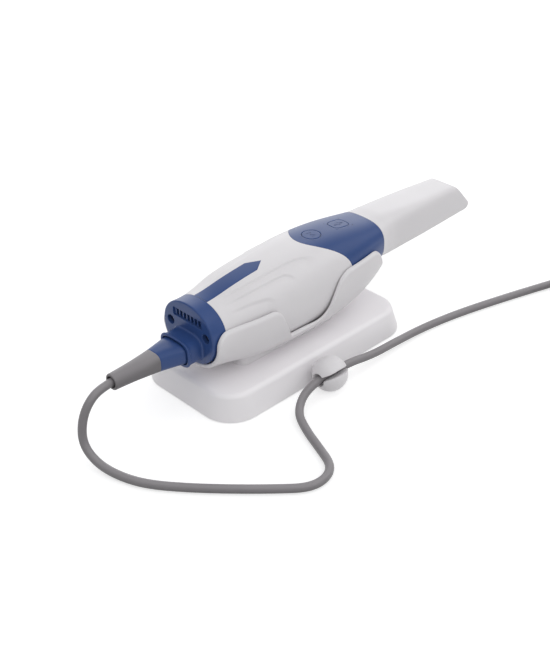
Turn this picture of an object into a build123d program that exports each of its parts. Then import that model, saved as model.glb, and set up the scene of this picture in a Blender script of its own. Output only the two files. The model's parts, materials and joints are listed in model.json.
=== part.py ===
from build123d import *
import math
import os

os.makedirs("parts", exist_ok=True)

# An intraoral scanner lying in its desk cradle, with the cradle on a weighted base.
# Units are millimetres. The origin is the centre of the rubber pad's underside.
# +X runs from the cable end to the scanning tip, +Z is up, and Y = 0 is the plane of symmetry.

# Base
BASE_LENGTH = 150.0
BASE_WIDTH = 79.8
BASE_CORNER = 19.5
BASE_TOP = 15.8
BASE_DRAFT = 16.7
BASE_TOP_FILLET = 3.4
BASE_FOOT_FILLET = 0.7
BASE_WALL = 2.6
FLOOR_GAP = 0.6
COVER_THICKNESS = 1.6
COVER_INSET = 4.0
COVER_CLEARANCE = 0.15
PAD_THICKNESS = 1.0
PAD_INSET = 4.5
BALLAST_LENGTH = 84.0
BALLAST_WIDTH = 40.0
BALLAST_THICKNESS = 6.0
BASE_POST_X = 52.0
BASE_POST_Y = 21.0
BASE_POST_RADIUS = 3.6

# Screws
SCREW_RADIUS = 1.2
SCREW_HEAD_RADIUS = 2.4
SCREW_HEAD_HEIGHT = 1.5
SCREW_CLEARANCE = 0.1

# Handle hull, seen as sections across X
REAR_X = -67.0
CAP_FRONT_X = -57.0
FRONT_X = 72.0
REAR_HALF_WIDTH = 20.8
GRIP_HALF_WIDTH = 26.0
FRONT_HALF_WIDTH = 18.7
REAR_TOP = 61.4
GRIP_TOP = 66.9
FRONT_TOP = 62.4
REAR_BOTTOM = 25.3
GRIP_BOTTOM = 19.6
FRONT_BOTTOM = 36.5
WALL = 2.2
FIT = 0.3
SECTION_POINTS = 20

# Front collar: its rear edge is a parabola in plan
TONGUE_X = 16.5
TONGUE_SPREAD = 0.035

# Label strip let into the top of the handle
STRIP_DEPTH = 0.8
STRIP_HALF_WIDTH = 5.2
STRIP_SHOULDER_X = -19.5
STRIP_POINT_X = -11.7

# Rear cap, its vents and its cable boss
CAP_WALL = 2.4
VENT_HALF_WIDTH = 11.8
VENT_BOTTOM = 50.2
VENT_TOP = 55.1
VENT_RECESS = 0.8
VENT_COUNT = 7
VENT_PITCH = 3.0
VENT_SLOT = 1.75
CAP_SCREW_Y = 14.5
CAP_SCREW_Z = 45.6
WELL_DEPTH = 4.5
WELL_RADIUS = 3.6
WELL_FLOOR = 1.5
BOSS_X = -77.3
BOSS_HALF_WIDTH = 11.5
BOSS_TOP = 44.1
BOSS_BOTTOM = 28.9
BOSS_POWER = 3.6
BOSS_WALL = 1.7
BOSS_LIP = 0.5
BOSS_LIP_LENGTH = 1.4

# Cable plug and strain relief
PLUG_GAP = 0.25
PLUG_REAR_X = -91.7
PLUG_HALF_WIDTH = 6.4
PLUG_TOP = 42.6
PLUG_BOTTOM = 31.2
RELIEF_END_X = -120.2
RELIEF_END_RADIUS = 4.7
RELIEF_MOUTH_RADIUS = 3.4
RELIEF_MOUTH_DEPTH = 1.8
CORD_EXIT_RISE = 0.7
SOCKET_FRONT_X = -56.0
SOCKET_RADIUS = 6.5

# Buttons
BUTTON_TRAVEL = 0.6
BUTTON_CLEARANCE = 0.15
BUTTON_FLANGE = 0.9
ROUND_BUTTON_X = 28.4
ROUND_BUTTON_RADIUS = 5.7
ROUND_BUTTON_FLOOR = 63.0
SCAN_BUTTON_X = 51.0
SCAN_BUTTON_LENGTH = 12.0
SCAN_BUTTON_WIDTH = 9.8
SCAN_BUTTON_CORNER = 3.4
SCAN_BUTTON_FLOOR = 61.0
BUTTON_STEM_RADIUS = 2.0
BUTTON_BOARD_TOP = 58.2
BUTTON_BOARD_THICKNESS = 1.0
BUTTON_BOARD_REAR = 20.5
BUTTON_BOARD_FRONT = 58.5
BUTTON_BOARD_WIDTH = 17.6
DOME_RADIUS = 3.0
DOME_HEIGHT = 1.0
COLLAR_BOSS_RADIUS = 1.3
COLLAR_BOSS_Y = 7.2
COLLAR_BOSS_X = (23.5, 41.0)

# Tip sleeve
TIP_SEAM = 0.1
TIP_WALL = 1.6
TIP_BOTTOM = 37.8
TIP_END_X = 168.0
TIP_END_HALF_WIDTH = 9.6
TIP_END_TOP = 56.1
RAKE_TOP_X = 151.0
RAKE_TOP_Z = 56.0
RAKE_LOW_X = 165.4
RAKE_LOW_Z = 40.4
RAKE_WALL = 2.0
MIRROR_THICKNESS = 1.2
MIRROR_HALF_WIDTH = 6.6
WINDOW_REAR_X = 145.5
WINDOW_FRONT_X = 158.5
WINDOW_HALF_WIDTH = 6.0
WINDOW_THICKNESS = 1.1

# Optics inside the collar and the tip
NOSE_REAR_X = 65.0
NOSE_FRONT_X = 120.0
NOSE_WALL = 1.3
NOSE_GAP = 1.2
NOSE_FLANGE_X = 61.0
NOSE_GLASS_THICKNESS = 1.2
NOSE_GLASS_HALF_WIDTH = 5.6
NOSE_GLASS_HALF_HEIGHT = 4.6
RING_X = 76.0
RING_WIDTH = 2.0
RING_DEPTH = 0.7
BARREL_Z = 47.0
BARREL_Y = 5.3
BARREL_RADIUS = 4.6
BARREL_BORE = 3.8
BARREL_REAR_X = 39.6
BARREL_FRONT_X = 80.0
LENS_THICKNESS = 1.8
LENS_SETBACK = 0.8
BENCH_REAR_X = 44.0
BENCH_FRONT_X = 64.0
BENCH_HALF_WIDTH = 11.6
BENCH_HALF_HEIGHT = 6.6
OPTICS_BOARD_THICKNESS = 1.6
OPTICS_BOARD_HALF_HEIGHT = 8.0

# Chassis and electronics
TRAY_TOP = 34.0
TRAY_THICKNESS = 2.0
TRAY_HALF_WIDTH = 11.0
BULKHEAD_THICKNESS = 4.0
REAR_BULKHEAD_X = -55.0
FRONT_BULKHEAD_X = 50.0
BOARD_BOTTOM = 38.8
BOARD_THICKNESS = 1.6
BOARD_REAR_X = -44.0
BOARD_FRONT_X = 36.0
BOARD_HALF_WIDTH = 15.0
STANDOFF_RADIUS = 2.0
STANDOFF_X = (-38.0, 30.0)
STANDOFF_Y = 9.0
CHIP_X = -18.0
CHIP_SIZE = 14.0
CHIP_HEIGHT = 2.0
MEMORY_X = 4.0
MEMORY_Y = 7.0
MEMORY_SIZE = (12.0, 9.0, 1.1)
HEADER_INSET = 3.0
HEADER_SIZE = (4.0, 14.0, 3.2)
FLAT_CABLE_SOCKET = (4.0, 18.0, 2.4)
SINK_PLATE_BOTTOM = 46.6
SINK_PLATE_THICKNESS = 1.9
SINK_HALF_WIDTH = 10.0
SINK_FRONT_X = -8.0
FIN_REAR_X = -36.5
FIN_TOP = 55.5
FIN_THICKNESS = 0.9
FIN_COUNT = 7
BLOWER_REAR_X = -60.0
BLOWER_LENGTH = 22.0
BLOWER_WIDTH = 20.0
BLOWER_HEIGHT = 7.0
BLOWER_WALL = 1.0
BLOWER_CAVITY_RADIUS = 8.6
BLOWER_INLET_RADIUS = 6.4
ROTOR_RADIUS = 8.0
ROTOR_HUB_RADIUS = 3.4
ROTOR_BLADES = 9
ROTOR_BLADE_THICKNESS = 0.6
ROTOR_END_GAP = 0.4
ROTOR_PIN_RADIUS = 1.0
ROTOR_BEARING_GAP = 0.06

# Cradle
CRADLE_GAP = 0.6
CRADLE_WALL = 2.2
CRADLE_REAR_X = -65.5
CRADLE_FRONT_X = 69.5
WING_TOP_REAR = 51.2
WING_TOP_FRONT = 53.6
NOTCH_FLOOR = 28.6
NOTCH_REAR_X = -14.0
NOTCH_FRONT_X = 11.0
CRADLE_FOOT_REAR_X = -42.0
CRADLE_FOOT_FRONT_X = 32.0
CRADLE_FOOT_HALF_WIDTH = 15.0
CRADLE_SCREW_X = (-24.0, 20.0)

# Cable clip on the side of the base
CLIP_X = -7.0
CLIP_Y = -49.7
CLIP_Z = 10.5
CLIP_RADIUS = 10.3
CLIP_BORE_CLEARANCE = 0.15
CLIP_SLIT = 2.4
CLIP_MOUTH_RADIUS = 4.6
CLIP_MOUTH_LENGTH = 4.0
CLIP_NECK_RADIUS = 4.0
CLIP_NECK_END_Y = -32.5
CLIP_NECK_Z = 8.5
CLIP_NECK_SINK = 3.0

# Cord, its stored coil and its plug
CORD_RADIUS = 2.4
COIL_X = 189.2
COIL_Y = -116.7
COIL_INNER_RADIUS = 15.5
COIL_OUTER_RADIUS = 38.1
COIL_LAYERS = 2
USB_Y = -154.0
USB_RELIEF_START_X = 153.0
USB_RELIEF_LENGTH = 14.0
USB_HOUSING_LENGTH = 26.0
USB_HOUSING_WIDTH = 15.6
USB_HOUSING_HEIGHT = 8.0
USB_SHELL_LENGTH = 12.0
USB_SHELL_WIDTH = 12.0
USB_SHELL_HEIGHT = 4.5
USB_SHELL_WALL = 0.4


def blend(low, high, share):
    return low + (high - low) * share


# Each station of the hull: x, half width, top, bottom, squareness
HULL = (
    (REAR_X, REAR_HALF_WIDTH, REAR_TOP, REAR_BOTTOM, 2.1),
    (CAP_FRONT_X, REAR_HALF_WIDTH, REAR_TOP - 0.5, blend(REAR_BOTTOM, GRIP_BOTTOM, 0.2), 2.25),
    (
        blend(CAP_FRONT_X, FRONT_X, 0.13),
        blend(REAR_HALF_WIDTH, GRIP_HALF_WIDTH, 0.54),
        blend(REAR_TOP, GRIP_TOP, 0.27),
        blend(REAR_BOTTOM, GRIP_BOTTOM, 0.6),
        2.6,
    ),
    (
        blend(CAP_FRONT_X, FRONT_X, 0.33),
        blend(REAR_HALF_WIDTH, GRIP_HALF_WIDTH, 0.92),
        blend(REAR_TOP, GRIP_TOP, 0.77),
        blend(REAR_BOTTOM, GRIP_BOTTOM, 0.93),
        2.8,
    ),
    (blend(CAP_FRONT_X, FRONT_X, 0.52), GRIP_HALF_WIDTH, GRIP_TOP, GRIP_BOTTOM, 2.8),
    (
        blend(CAP_FRONT_X, FRONT_X, 0.67),
        blend(FRONT_HALF_WIDTH, GRIP_HALF_WIDTH, 0.93),
        blend(FRONT_TOP, GRIP_TOP, 0.98),
        blend(FRONT_BOTTOM, GRIP_BOTTOM, 0.92),
        2.8,
    ),
    (
        blend(CAP_FRONT_X, FRONT_X, 0.83),
        blend(FRONT_HALF_WIDTH, GRIP_HALF_WIDTH, 0.64),
        blend(FRONT_TOP, GRIP_TOP, 0.64),
        blend(FRONT_BOTTOM, GRIP_BOTTOM, 0.65),
        2.8,
    ),
    (
        NOSE_REAR_X,
        blend(FRONT_HALF_WIDTH, GRIP_HALF_WIDTH, 0.23),
        blend(FRONT_TOP, GRIP_TOP, 0.22),
        blend(FRONT_BOTTOM, GRIP_BOTTOM, 0.27),
        2.8,
    ),
    (FRONT_X, FRONT_HALF_WIDTH, FRONT_TOP, FRONT_BOTTOM, 2.8),
)


def tip_top(x):
    return blend(FRONT_TOP, TIP_END_TOP, (x - FRONT_X) / (TIP_END_X - FRONT_X))


def tip_half_width(x, flare):
    return blend(TIP_END_HALF_WIDTH + 5.0, TIP_END_HALF_WIDTH, (x - FRONT_X) / (TIP_END_X - FRONT_X)) + flare


# Stations of the tip, whose rear flares out to meet the collar
TIP = (
    (FRONT_X, FRONT_HALF_WIDTH, FRONT_TOP, FRONT_BOTTOM, 2.8),
    (FRONT_X + 8.0, tip_half_width(FRONT_X + 8.0, 1.6), tip_top(FRONT_X + 8.0), TIP_BOTTOM - 0.3, 2.8),
    (FRONT_X + 18.0, tip_half_width(FRONT_X + 18.0, 0.3), tip_top(FRONT_X + 18.0), TIP_BOTTOM, 2.8),
    (FRONT_X + 33.0, tip_half_width(FRONT_X + 33.0, 0.0), tip_top(FRONT_X + 33.0), TIP_BOTTOM, 2.9),
    (NOSE_FRONT_X, tip_half_width(NOSE_FRONT_X, 0.0), tip_top(NOSE_FRONT_X), TIP_BOTTOM, 3.0),
    (RAKE_TOP_X - 1.0, tip_half_width(RAKE_TOP_X - 1.0, 0.0), tip_top(RAKE_TOP_X - 1.0), TIP_BOTTOM, 3.1),
    (TIP_END_X, TIP_END_HALF_WIDTH, TIP_END_TOP, TIP_BOTTOM, 3.2),
)


def section_outline(half_width, top, bottom, power):
    """Points of a superellipse, evenly spread in angle."""
    middle = (top + bottom) / 2
    half_height = (top - bottom) / 2
    points = []
    for i in range(SECTION_POINTS):
        angle = 2 * math.pi * i / SECTION_POINTS
        side = abs(math.cos(angle)) / half_width
        rise = abs(math.sin(angle)) / half_height
        reach = (side**power + rise**power) ** (-1 / power)
        points.append((reach * math.cos(angle), middle + reach * math.sin(angle)))
    return points


def lofted(stations, inset):
    """A solid through the stations, its surface moved in by the inset."""
    with BuildPart() as body:
        for x, half_width, top, bottom, power in stations:
            with BuildSketch(Plane.YZ.offset(x)):
                outline = section_outline(half_width - inset, top - inset, bottom + inset, power)
                with BuildLine():
                    Spline(outline, periodic=True)
                make_face()
        loft()
    return body.part


def side_profile(points, radii, half_depth):
    """A prism across Y from a side view outline in X and Z."""
    with BuildPart() as body:
        with BuildSketch(Plane.XZ):
            with BuildLine():
                FilletPolyline(points, radius=radii, close=True)
            make_face()
        extrude(amount=half_depth, both=True)
    return body.part


def slab(x_start, x_end):
    """A block that spans the whole handle between two planes across X."""
    return Pos((x_start + x_end) / 2, 0, GRIP_TOP / 2) * Box(x_end - x_start, 120, 120)


hull_outer = lofted(HULL, 0)
hull_inner = lofted(HULL, WALL)
hull_fit = lofted(HULL, WALL + FIT)
hull_strip = lofted(HULL, STRIP_DEPTH)

# Plan outline of the collar, in front of the parabola
tongue_reach = GRIP_HALF_WIDTH + 6
tongue_depth = TONGUE_SPREAD * tongue_reach**2
with BuildPart() as tongue:
    with BuildSketch():
        with BuildLine():
            Bezier(
                (TONGUE_X + tongue_depth, tongue_reach),
                (TONGUE_X - tongue_depth, 0),
                (TONGUE_X + tongue_depth, -tongue_reach),
            )
            Polyline(
                (TONGUE_X + tongue_depth, -tongue_reach),
                (FRONT_X, -tongue_reach),
                (FRONT_X, tongue_reach),
                (TONGUE_X + tongue_depth, tongue_reach),
            )
        make_face()
    extrude(amount=100)

# Plan outline of the label strip
with BuildPart() as arrow:
    with BuildSketch():
        with BuildLine():
            Polyline(
                (CAP_FRONT_X, STRIP_HALF_WIDTH),
                (STRIP_SHOULDER_X, STRIP_HALF_WIDTH),
                (STRIP_POINT_X, 0),
                (STRIP_SHOULDER_X, -STRIP_HALF_WIDTH),
                (CAP_FRONT_X, -STRIP_HALF_WIDTH),
                close=True,
            )
        make_face()
    extrude(amount=100)
with BuildPart() as above_middle:
    with Locations((0, 0, (GRIP_TOP + GRIP_BOTTOM) / 2)):
        Box(300, 120, 60, align=(Align.CENTER, Align.CENTER, Align.MIN))

# Label strip
with BuildPart() as label_strip:
    add(hull_outer)
    add(hull_strip, mode=Mode.SUBTRACT)
    add(arrow.part, mode=Mode.INTERSECT)
    add(above_middle.part, mode=Mode.INTERSECT)
label_strip.part.label = "label_strip"
export_step(label_strip.part, "parts/label_strip.step")

# Handle shell: one moulded sleeve, open at both ends
with BuildPart() as handle_shell:
    add(hull_outer)
    add(hull_inner, mode=Mode.SUBTRACT)
    add(tongue.part, mode=Mode.SUBTRACT)
    split(bisect_by=Plane.YZ.offset(CAP_FRONT_X), keep=Keep.TOP)
    add(label_strip.part, mode=Mode.SUBTRACT)
handle_shell.part.label = "handle_shell"
export_step(handle_shell.part, "parts/handle_shell.step")

# Front collar with the two button holes and the bosses that carry the button board
with BuildPart() as front_collar:
    add(hull_outer)
    add(hull_inner, mode=Mode.SUBTRACT)
    add(tongue.part, mode=Mode.INTERSECT)
    with BuildSketch(Plane.XY.offset(BUTTON_BOARD_TOP)):
        with Locations([(x, side * COLLAR_BOSS_Y) for x in COLLAR_BOSS_X for side in (-1, 1)]):
            Circle(COLLAR_BOSS_RADIUS)
    extrude(amount=GRIP_TOP - BUTTON_BOARD_TOP - WALL / 2)
    with BuildSketch(Plane.XY.offset(BUTTON_BOARD_TOP)):
        with Locations((ROUND_BUTTON_X, 0)):
            Circle(ROUND_BUTTON_RADIUS)
        with Locations((SCAN_BUTTON_X, 0)):
            RectangleRounded(SCAN_BUTTON_LENGTH, SCAN_BUTTON_WIDTH, SCAN_BUTTON_CORNER)
    extrude(amount=20, mode=Mode.SUBTRACT)
    add(hull_outer, mode=Mode.INTERSECT)
front_collar.part.label = "front_collar"
export_step(front_collar.part, "parts/front_collar.step")

# Buttons: a cap flush with the collar, a flange behind the wall and a stem over the dome switch
STEM_BOTTOM = BUTTON_BOARD_TOP + DOME_HEIGHT + BUTTON_TRAVEL + BUTTON_CLEARANCE
hull_flange = lofted(HULL, WALL + BUTTON_CLEARANCE)


def button(cap_sketch, flange_sketch, floor, x):
    """A button from plan outlines of its cap and flange."""
    with BuildPart() as cap:
        add(cap_sketch)
        extrude(amount=12)
        add(hull_outer, mode=Mode.INTERSECT)
    with BuildPart() as flange:
        add(flange_sketch)
        extrude(amount=12)
        add(hull_flange, mode=Mode.INTERSECT)
    with BuildPart() as stem:
        with BuildSketch(Plane.XY.offset(STEM_BOTTOM)):
            with Locations((x, 0)):
                Circle(BUTTON_STEM_RADIUS)
        extrude(amount=floor + 0.5 - STEM_BOTTOM)
    with BuildPart() as whole:
        add(cap.part)
        add(flange.part)
        add(stem.part)
    return whole.part


with BuildSketch(Plane.XY.offset(ROUND_BUTTON_FLOOR)) as round_cap:
    with Locations((ROUND_BUTTON_X, 0)):
        Circle(ROUND_BUTTON_RADIUS - BUTTON_CLEARANCE)
with BuildSketch(Plane.XY.offset(ROUND_BUTTON_FLOOR)) as round_flange:
    with Locations((ROUND_BUTTON_X, 0)):
        Circle(ROUND_BUTTON_RADIUS + BUTTON_FLANGE)
round_button = button(round_cap.sketch, round_flange.sketch, ROUND_BUTTON_FLOOR, ROUND_BUTTON_X)
round_button.label = "round_button"
export_step(round_button, "parts/round_button.step")

with BuildSketch(Plane.XY.offset(SCAN_BUTTON_FLOOR)) as scan_cap:
    with Locations((SCAN_BUTTON_X, 0)):
        RectangleRounded(
            SCAN_BUTTON_LENGTH - 2 * BUTTON_CLEARANCE,
            SCAN_BUTTON_WIDTH - 2 * BUTTON_CLEARANCE,
            SCAN_BUTTON_CORNER - BUTTON_CLEARANCE,
        )
with BuildSketch(Plane.XY.offset(SCAN_BUTTON_FLOOR)) as scan_flange:
    with Locations((SCAN_BUTTON_X, 0)):
        RectangleRounded(
            SCAN_BUTTON_LENGTH + 2 * BUTTON_FLANGE,
            SCAN_BUTTON_WIDTH + 2 * BUTTON_FLANGE,
            SCAN_BUTTON_CORNER + BUTTON_FLANGE,
        )
scan_button = button(scan_cap.sketch, scan_flange.sketch, SCAN_BUTTON_FLOOR, SCAN_BUTTON_X)
scan_button.label = "scan_button"
export_step(scan_button, "parts/scan_button.step")

# Button board with two dome switches
with BuildPart() as button_board:
    with BuildSketch(Plane.XY.offset(BUTTON_BOARD_TOP - BUTTON_BOARD_THICKNESS)):
        with Locations(((BUTTON_BOARD_REAR + BUTTON_BOARD_FRONT) / 2, 0)):
            RectangleRounded(BUTTON_BOARD_FRONT - BUTTON_BOARD_REAR, BUTTON_BOARD_WIDTH, 1.5)
    extrude(amount=BUTTON_BOARD_THICKNESS)
    with BuildSketch(Plane.XY.offset(BUTTON_BOARD_TOP)):
        with Locations((ROUND_BUTTON_X, 0), (SCAN_BUTTON_X, 0)):
            Circle(DOME_RADIUS)
    extrude(amount=DOME_HEIGHT, taper=30)
button_board.part.label = "button_board"
export_step(button_board.part, "parts/button_board.step")

# Rear cap: a cup with a vent grille, two screw wells and the boss that takes the cable plug
boss_section = (BOSS_HALF_WIDTH, BOSS_TOP, BOSS_BOTTOM, BOSS_POWER)
boss_outer = lofted(((BOSS_X, *boss_section), (REAR_X + CAP_WALL / 2, *boss_section)), 0)
boss_ridge = lofted(((BOSS_X, *boss_section), (BOSS_X + BOSS_LIP_LENGTH, *boss_section)), -BOSS_LIP)
boss_bore = lofted(((BOSS_X, *boss_section), (REAR_X + CAP_WALL, *boss_section)), BOSS_WALL)
WELL_END_X = REAR_X + WELL_DEPTH + WELL_FLOOR
with BuildPart() as cap_cavity:
    add(hull_inner)
    add(slab(REAR_X + CAP_WALL, CAP_FRONT_X), mode=Mode.INTERSECT)
with BuildPart() as rear_cap:
    add(hull_outer)
    add(slab(REAR_X, CAP_FRONT_X), mode=Mode.INTERSECT)
    add(cap_cavity.part, mode=Mode.SUBTRACT)
    add(boss_outer)
    add(boss_ridge)
    add(boss_bore, mode=Mode.SUBTRACT)
    with BuildSketch(Plane.YZ.offset(REAR_X)):
        with Locations((0, (VENT_BOTTOM + VENT_TOP) / 2)):
            Rectangle(2 * VENT_HALF_WIDTH, VENT_TOP - VENT_BOTTOM)
    extrude(amount=VENT_RECESS, mode=Mode.SUBTRACT)
    with BuildSketch(Plane.YZ.offset(REAR_X)):
        with Locations((0, (VENT_BOTTOM + VENT_TOP) / 2)):
            with GridLocations(VENT_PITCH, 1, VENT_COUNT, 1):
                Rectangle(VENT_SLOT, VENT_TOP - VENT_BOTTOM)
    extrude(amount=CAP_WALL, mode=Mode.SUBTRACT)
    # Screw wells
    with BuildSketch(Plane.YZ.offset(REAR_X + CAP_WALL / 2)):
        with Locations((-CAP_SCREW_Y, CAP_SCREW_Z), (CAP_SCREW_Y, CAP_SCREW_Z)):
            Circle(WELL_RADIUS)
    extrude(amount=WELL_END_X - REAR_X - CAP_WALL / 2)
    with BuildSketch(Plane.YZ.offset(REAR_X)):
        with Locations((-CAP_SCREW_Y, CAP_SCREW_Z), (CAP_SCREW_Y, CAP_SCREW_Z)):
            Circle(SCREW_HEAD_RADIUS + SCREW_CLEARANCE)
    extrude(amount=WELL_DEPTH, mode=Mode.SUBTRACT)
    with BuildSketch(Plane.YZ.offset(REAR_X)):
        with Locations((-CAP_SCREW_Y, CAP_SCREW_Z), (CAP_SCREW_Y, CAP_SCREW_Z)):
            Circle(SCREW_RADIUS + SCREW_CLEARANCE)
    extrude(amount=WELL_END_X - REAR_X, mode=Mode.SUBTRACT)
rear_cap.part.label = "rear_cap"
export_step(rear_cap.part, "parts/rear_cap.step")

# Cap screws, driven into the posts of the rear bulkhead
CAP_SCREW_END_X = REAR_BULKHEAD_X + BULKHEAD_THICKNESS / 2
with BuildPart() as cap_screws:
    for side in (-1, 1):
        with BuildSketch(Plane.YZ.offset(REAR_X + WELL_DEPTH)):
            with Locations((side * CAP_SCREW_Y, CAP_SCREW_Z)):
                Circle(SCREW_HEAD_RADIUS)
        extrude(amount=-SCREW_HEAD_HEIGHT)
        with BuildSketch(Plane.YZ.offset(REAR_X + WELL_DEPTH - SCREW_HEAD_HEIGHT)):
            with Locations((side * CAP_SCREW_Y, CAP_SCREW_Z)):
                RegularPolygon(SCREW_RADIUS, 6)
        extrude(amount=SCREW_HEAD_HEIGHT / 2, mode=Mode.SUBTRACT)
        with BuildSketch(Plane.YZ.offset(REAR_X + WELL_DEPTH)):
            with Locations((side * CAP_SCREW_Y, CAP_SCREW_Z)):
                Circle(SCREW_RADIUS)
        extrude(amount=CAP_SCREW_END_X - REAR_X - WELL_DEPTH)
cap_screws.part.label = "cap_screws"
export_step(cap_screws.part, "parts/cap_screws.step")

# Chassis: a tray between two bulkheads that fit the inside of the handle
BLOWER_Z = SINK_PLATE_BOTTOM + SINK_PLATE_THICKNESS
with BuildPart() as bulkheads:
    add(hull_fit)
    add(
        slab(REAR_BULKHEAD_X, REAR_BULKHEAD_X + BULKHEAD_THICKNESS)
        + slab(FRONT_BULKHEAD_X, FRONT_BULKHEAD_X + BULKHEAD_THICKNESS),
        mode=Mode.INTERSECT,
    )
with BuildPart() as chassis:
    add(bulkheads.part)
    with Locations((REAR_BULKHEAD_X, 0, TRAY_TOP - TRAY_THICKNESS)):
        Box(
            FRONT_BULKHEAD_X - REAR_BULKHEAD_X + BULKHEAD_THICKNESS / 2,
            2 * TRAY_HALF_WIDTH,
            TRAY_THICKNESS,
            align=(Align.MIN, Align.CENTER, Align.MIN),
        )
    with BuildSketch(Plane.XY.offset(TRAY_TOP)):
        with Locations([(x, side * STANDOFF_Y) for x in STANDOFF_X for side in (-1, 1)]):
            Circle(STANDOFF_RADIUS)
    extrude(amount=BOARD_BOTTOM - TRAY_TOP)
    # Posts that take the cap screws
    with BuildSketch(Plane.YZ.offset(WELL_END_X)):
        with Locations((-CAP_SCREW_Y, CAP_SCREW_Z), (CAP_SCREW_Y, CAP_SCREW_Z)):
            Circle(SCREW_HEAD_RADIUS)
    extrude(amount=REAR_BULKHEAD_X - WELL_END_X)
    with BuildSketch(Plane.YZ.offset(WELL_END_X)):
        with Locations((-CAP_SCREW_Y, CAP_SCREW_Z), (CAP_SCREW_Y, CAP_SCREW_Z)):
            Circle(SCREW_RADIUS)
    extrude(amount=CAP_SCREW_END_X - WELL_END_X, mode=Mode.SUBTRACT)
    # Rear bulkhead openings for the cable socket and the blower
    with BuildSketch(Plane.YZ.offset(REAR_BULKHEAD_X)):
        with Locations((0, (BOSS_TOP + BOSS_BOTTOM) / 2)):
            Circle(SOCKET_RADIUS + SCREW_CLEARANCE)
        with Locations((0, SINK_PLATE_BOTTOM - SCREW_CLEARANCE)):
            Rectangle(
                BLOWER_WIDTH + 2 * FIT,
                BLOWER_HEIGHT + SINK_PLATE_THICKNESS + 2 * FIT,
                align=(Align.CENTER, Align.MIN),
            )
    extrude(amount=BULKHEAD_THICKNESS, mode=Mode.SUBTRACT)
    # Front bulkhead opening for the optical bench, and the notch under the button board
    with BuildSketch(Plane.YZ.offset(FRONT_BULKHEAD_X)):
        with Locations((0, BARREL_Z)):
            Rectangle(2 * (BENCH_HALF_WIDTH + SCREW_CLEARANCE), 2 * (BENCH_HALF_HEIGHT + SCREW_CLEARANCE))
        with Locations((0, BUTTON_BOARD_TOP - BUTTON_BOARD_THICKNESS - SCREW_CLEARANCE)):
            Rectangle(BUTTON_BOARD_WIDTH + 2 * FIT, 12, align=(Align.CENTER, Align.MIN))
    extrude(amount=BULKHEAD_THICKNESS, mode=Mode.SUBTRACT)
chassis.part.label = "chassis"
export_step(chassis.part, "parts/chassis.step")

# Main board with its processor, memory chips and cable header
BOARD_TOP = BOARD_BOTTOM + BOARD_THICKNESS
with BuildPart() as main_board:
    with BuildSketch(Plane.XY.offset(BOARD_BOTTOM)):
        with Locations(((BOARD_REAR_X + BOARD_FRONT_X) / 2, 0)):
            RectangleRounded(BOARD_FRONT_X - BOARD_REAR_X, 2 * BOARD_HALF_WIDTH, 2)
    extrude(amount=BOARD_THICKNESS)
    with Locations((CHIP_X, 0, BOARD_TOP)):
        Box(CHIP_SIZE, CHIP_SIZE, CHIP_HEIGHT, align=(Align.CENTER, Align.CENTER, Align.MIN))
    with Locations((MEMORY_X, -MEMORY_Y, BOARD_TOP), (MEMORY_X, MEMORY_Y, BOARD_TOP)):
        Box(*MEMORY_SIZE, align=(Align.CENTER, Align.CENTER, Align.MIN))
    with Locations((BOARD_REAR_X + HEADER_INSET, 0, BOARD_TOP)):
        Box(*HEADER_SIZE, align=(Align.CENTER, Align.CENTER, Align.MIN))
    with Locations((BOARD_FRONT_X - HEADER_INSET, 0, BOARD_TOP)):
        Box(*FLAT_CABLE_SOCKET, align=(Align.CENTER, Align.CENTER, Align.MIN))
main_board.part.label = "main_board"
export_step(main_board.part, "parts/main_board.step")

# Heat sink: a block on the processor, a plate under the blower and a row of fins
CHIP_TOP = BOARD_TOP + CHIP_HEIGHT
with BuildPart() as heat_sink:
    with Locations((CHIP_X, 0, CHIP_TOP)):
        Box(CHIP_SIZE + 2, CHIP_SIZE + 2, BLOWER_Z - CHIP_TOP, align=(Align.CENTER, Align.CENTER, Align.MIN))
    with Locations((BLOWER_REAR_X, 0, SINK_PLATE_BOTTOM)):
        Box(
            SINK_FRONT_X - BLOWER_REAR_X,
            2 * SINK_HALF_WIDTH,
            SINK_PLATE_THICKNESS,
            align=(Align.MIN, Align.CENTER, Align.MIN),
        )
    fin_pitch = (2 * SINK_HALF_WIDTH - FIN_THICKNESS) / (FIN_COUNT - 1)
    with Locations(((FIN_REAR_X + SINK_FRONT_X) / 2, 0, BLOWER_Z)):
        with GridLocations(1, fin_pitch, 1, FIN_COUNT):
            Box(
                SINK_FRONT_X - FIN_REAR_X,
                FIN_THICKNESS,
                FIN_TOP - BLOWER_Z,
                align=(Align.CENTER, Align.CENTER, Align.MIN),
            )
heat_sink.part.label = "heat_sink"
export_step(heat_sink.part, "parts/heat_sink.step")

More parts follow.
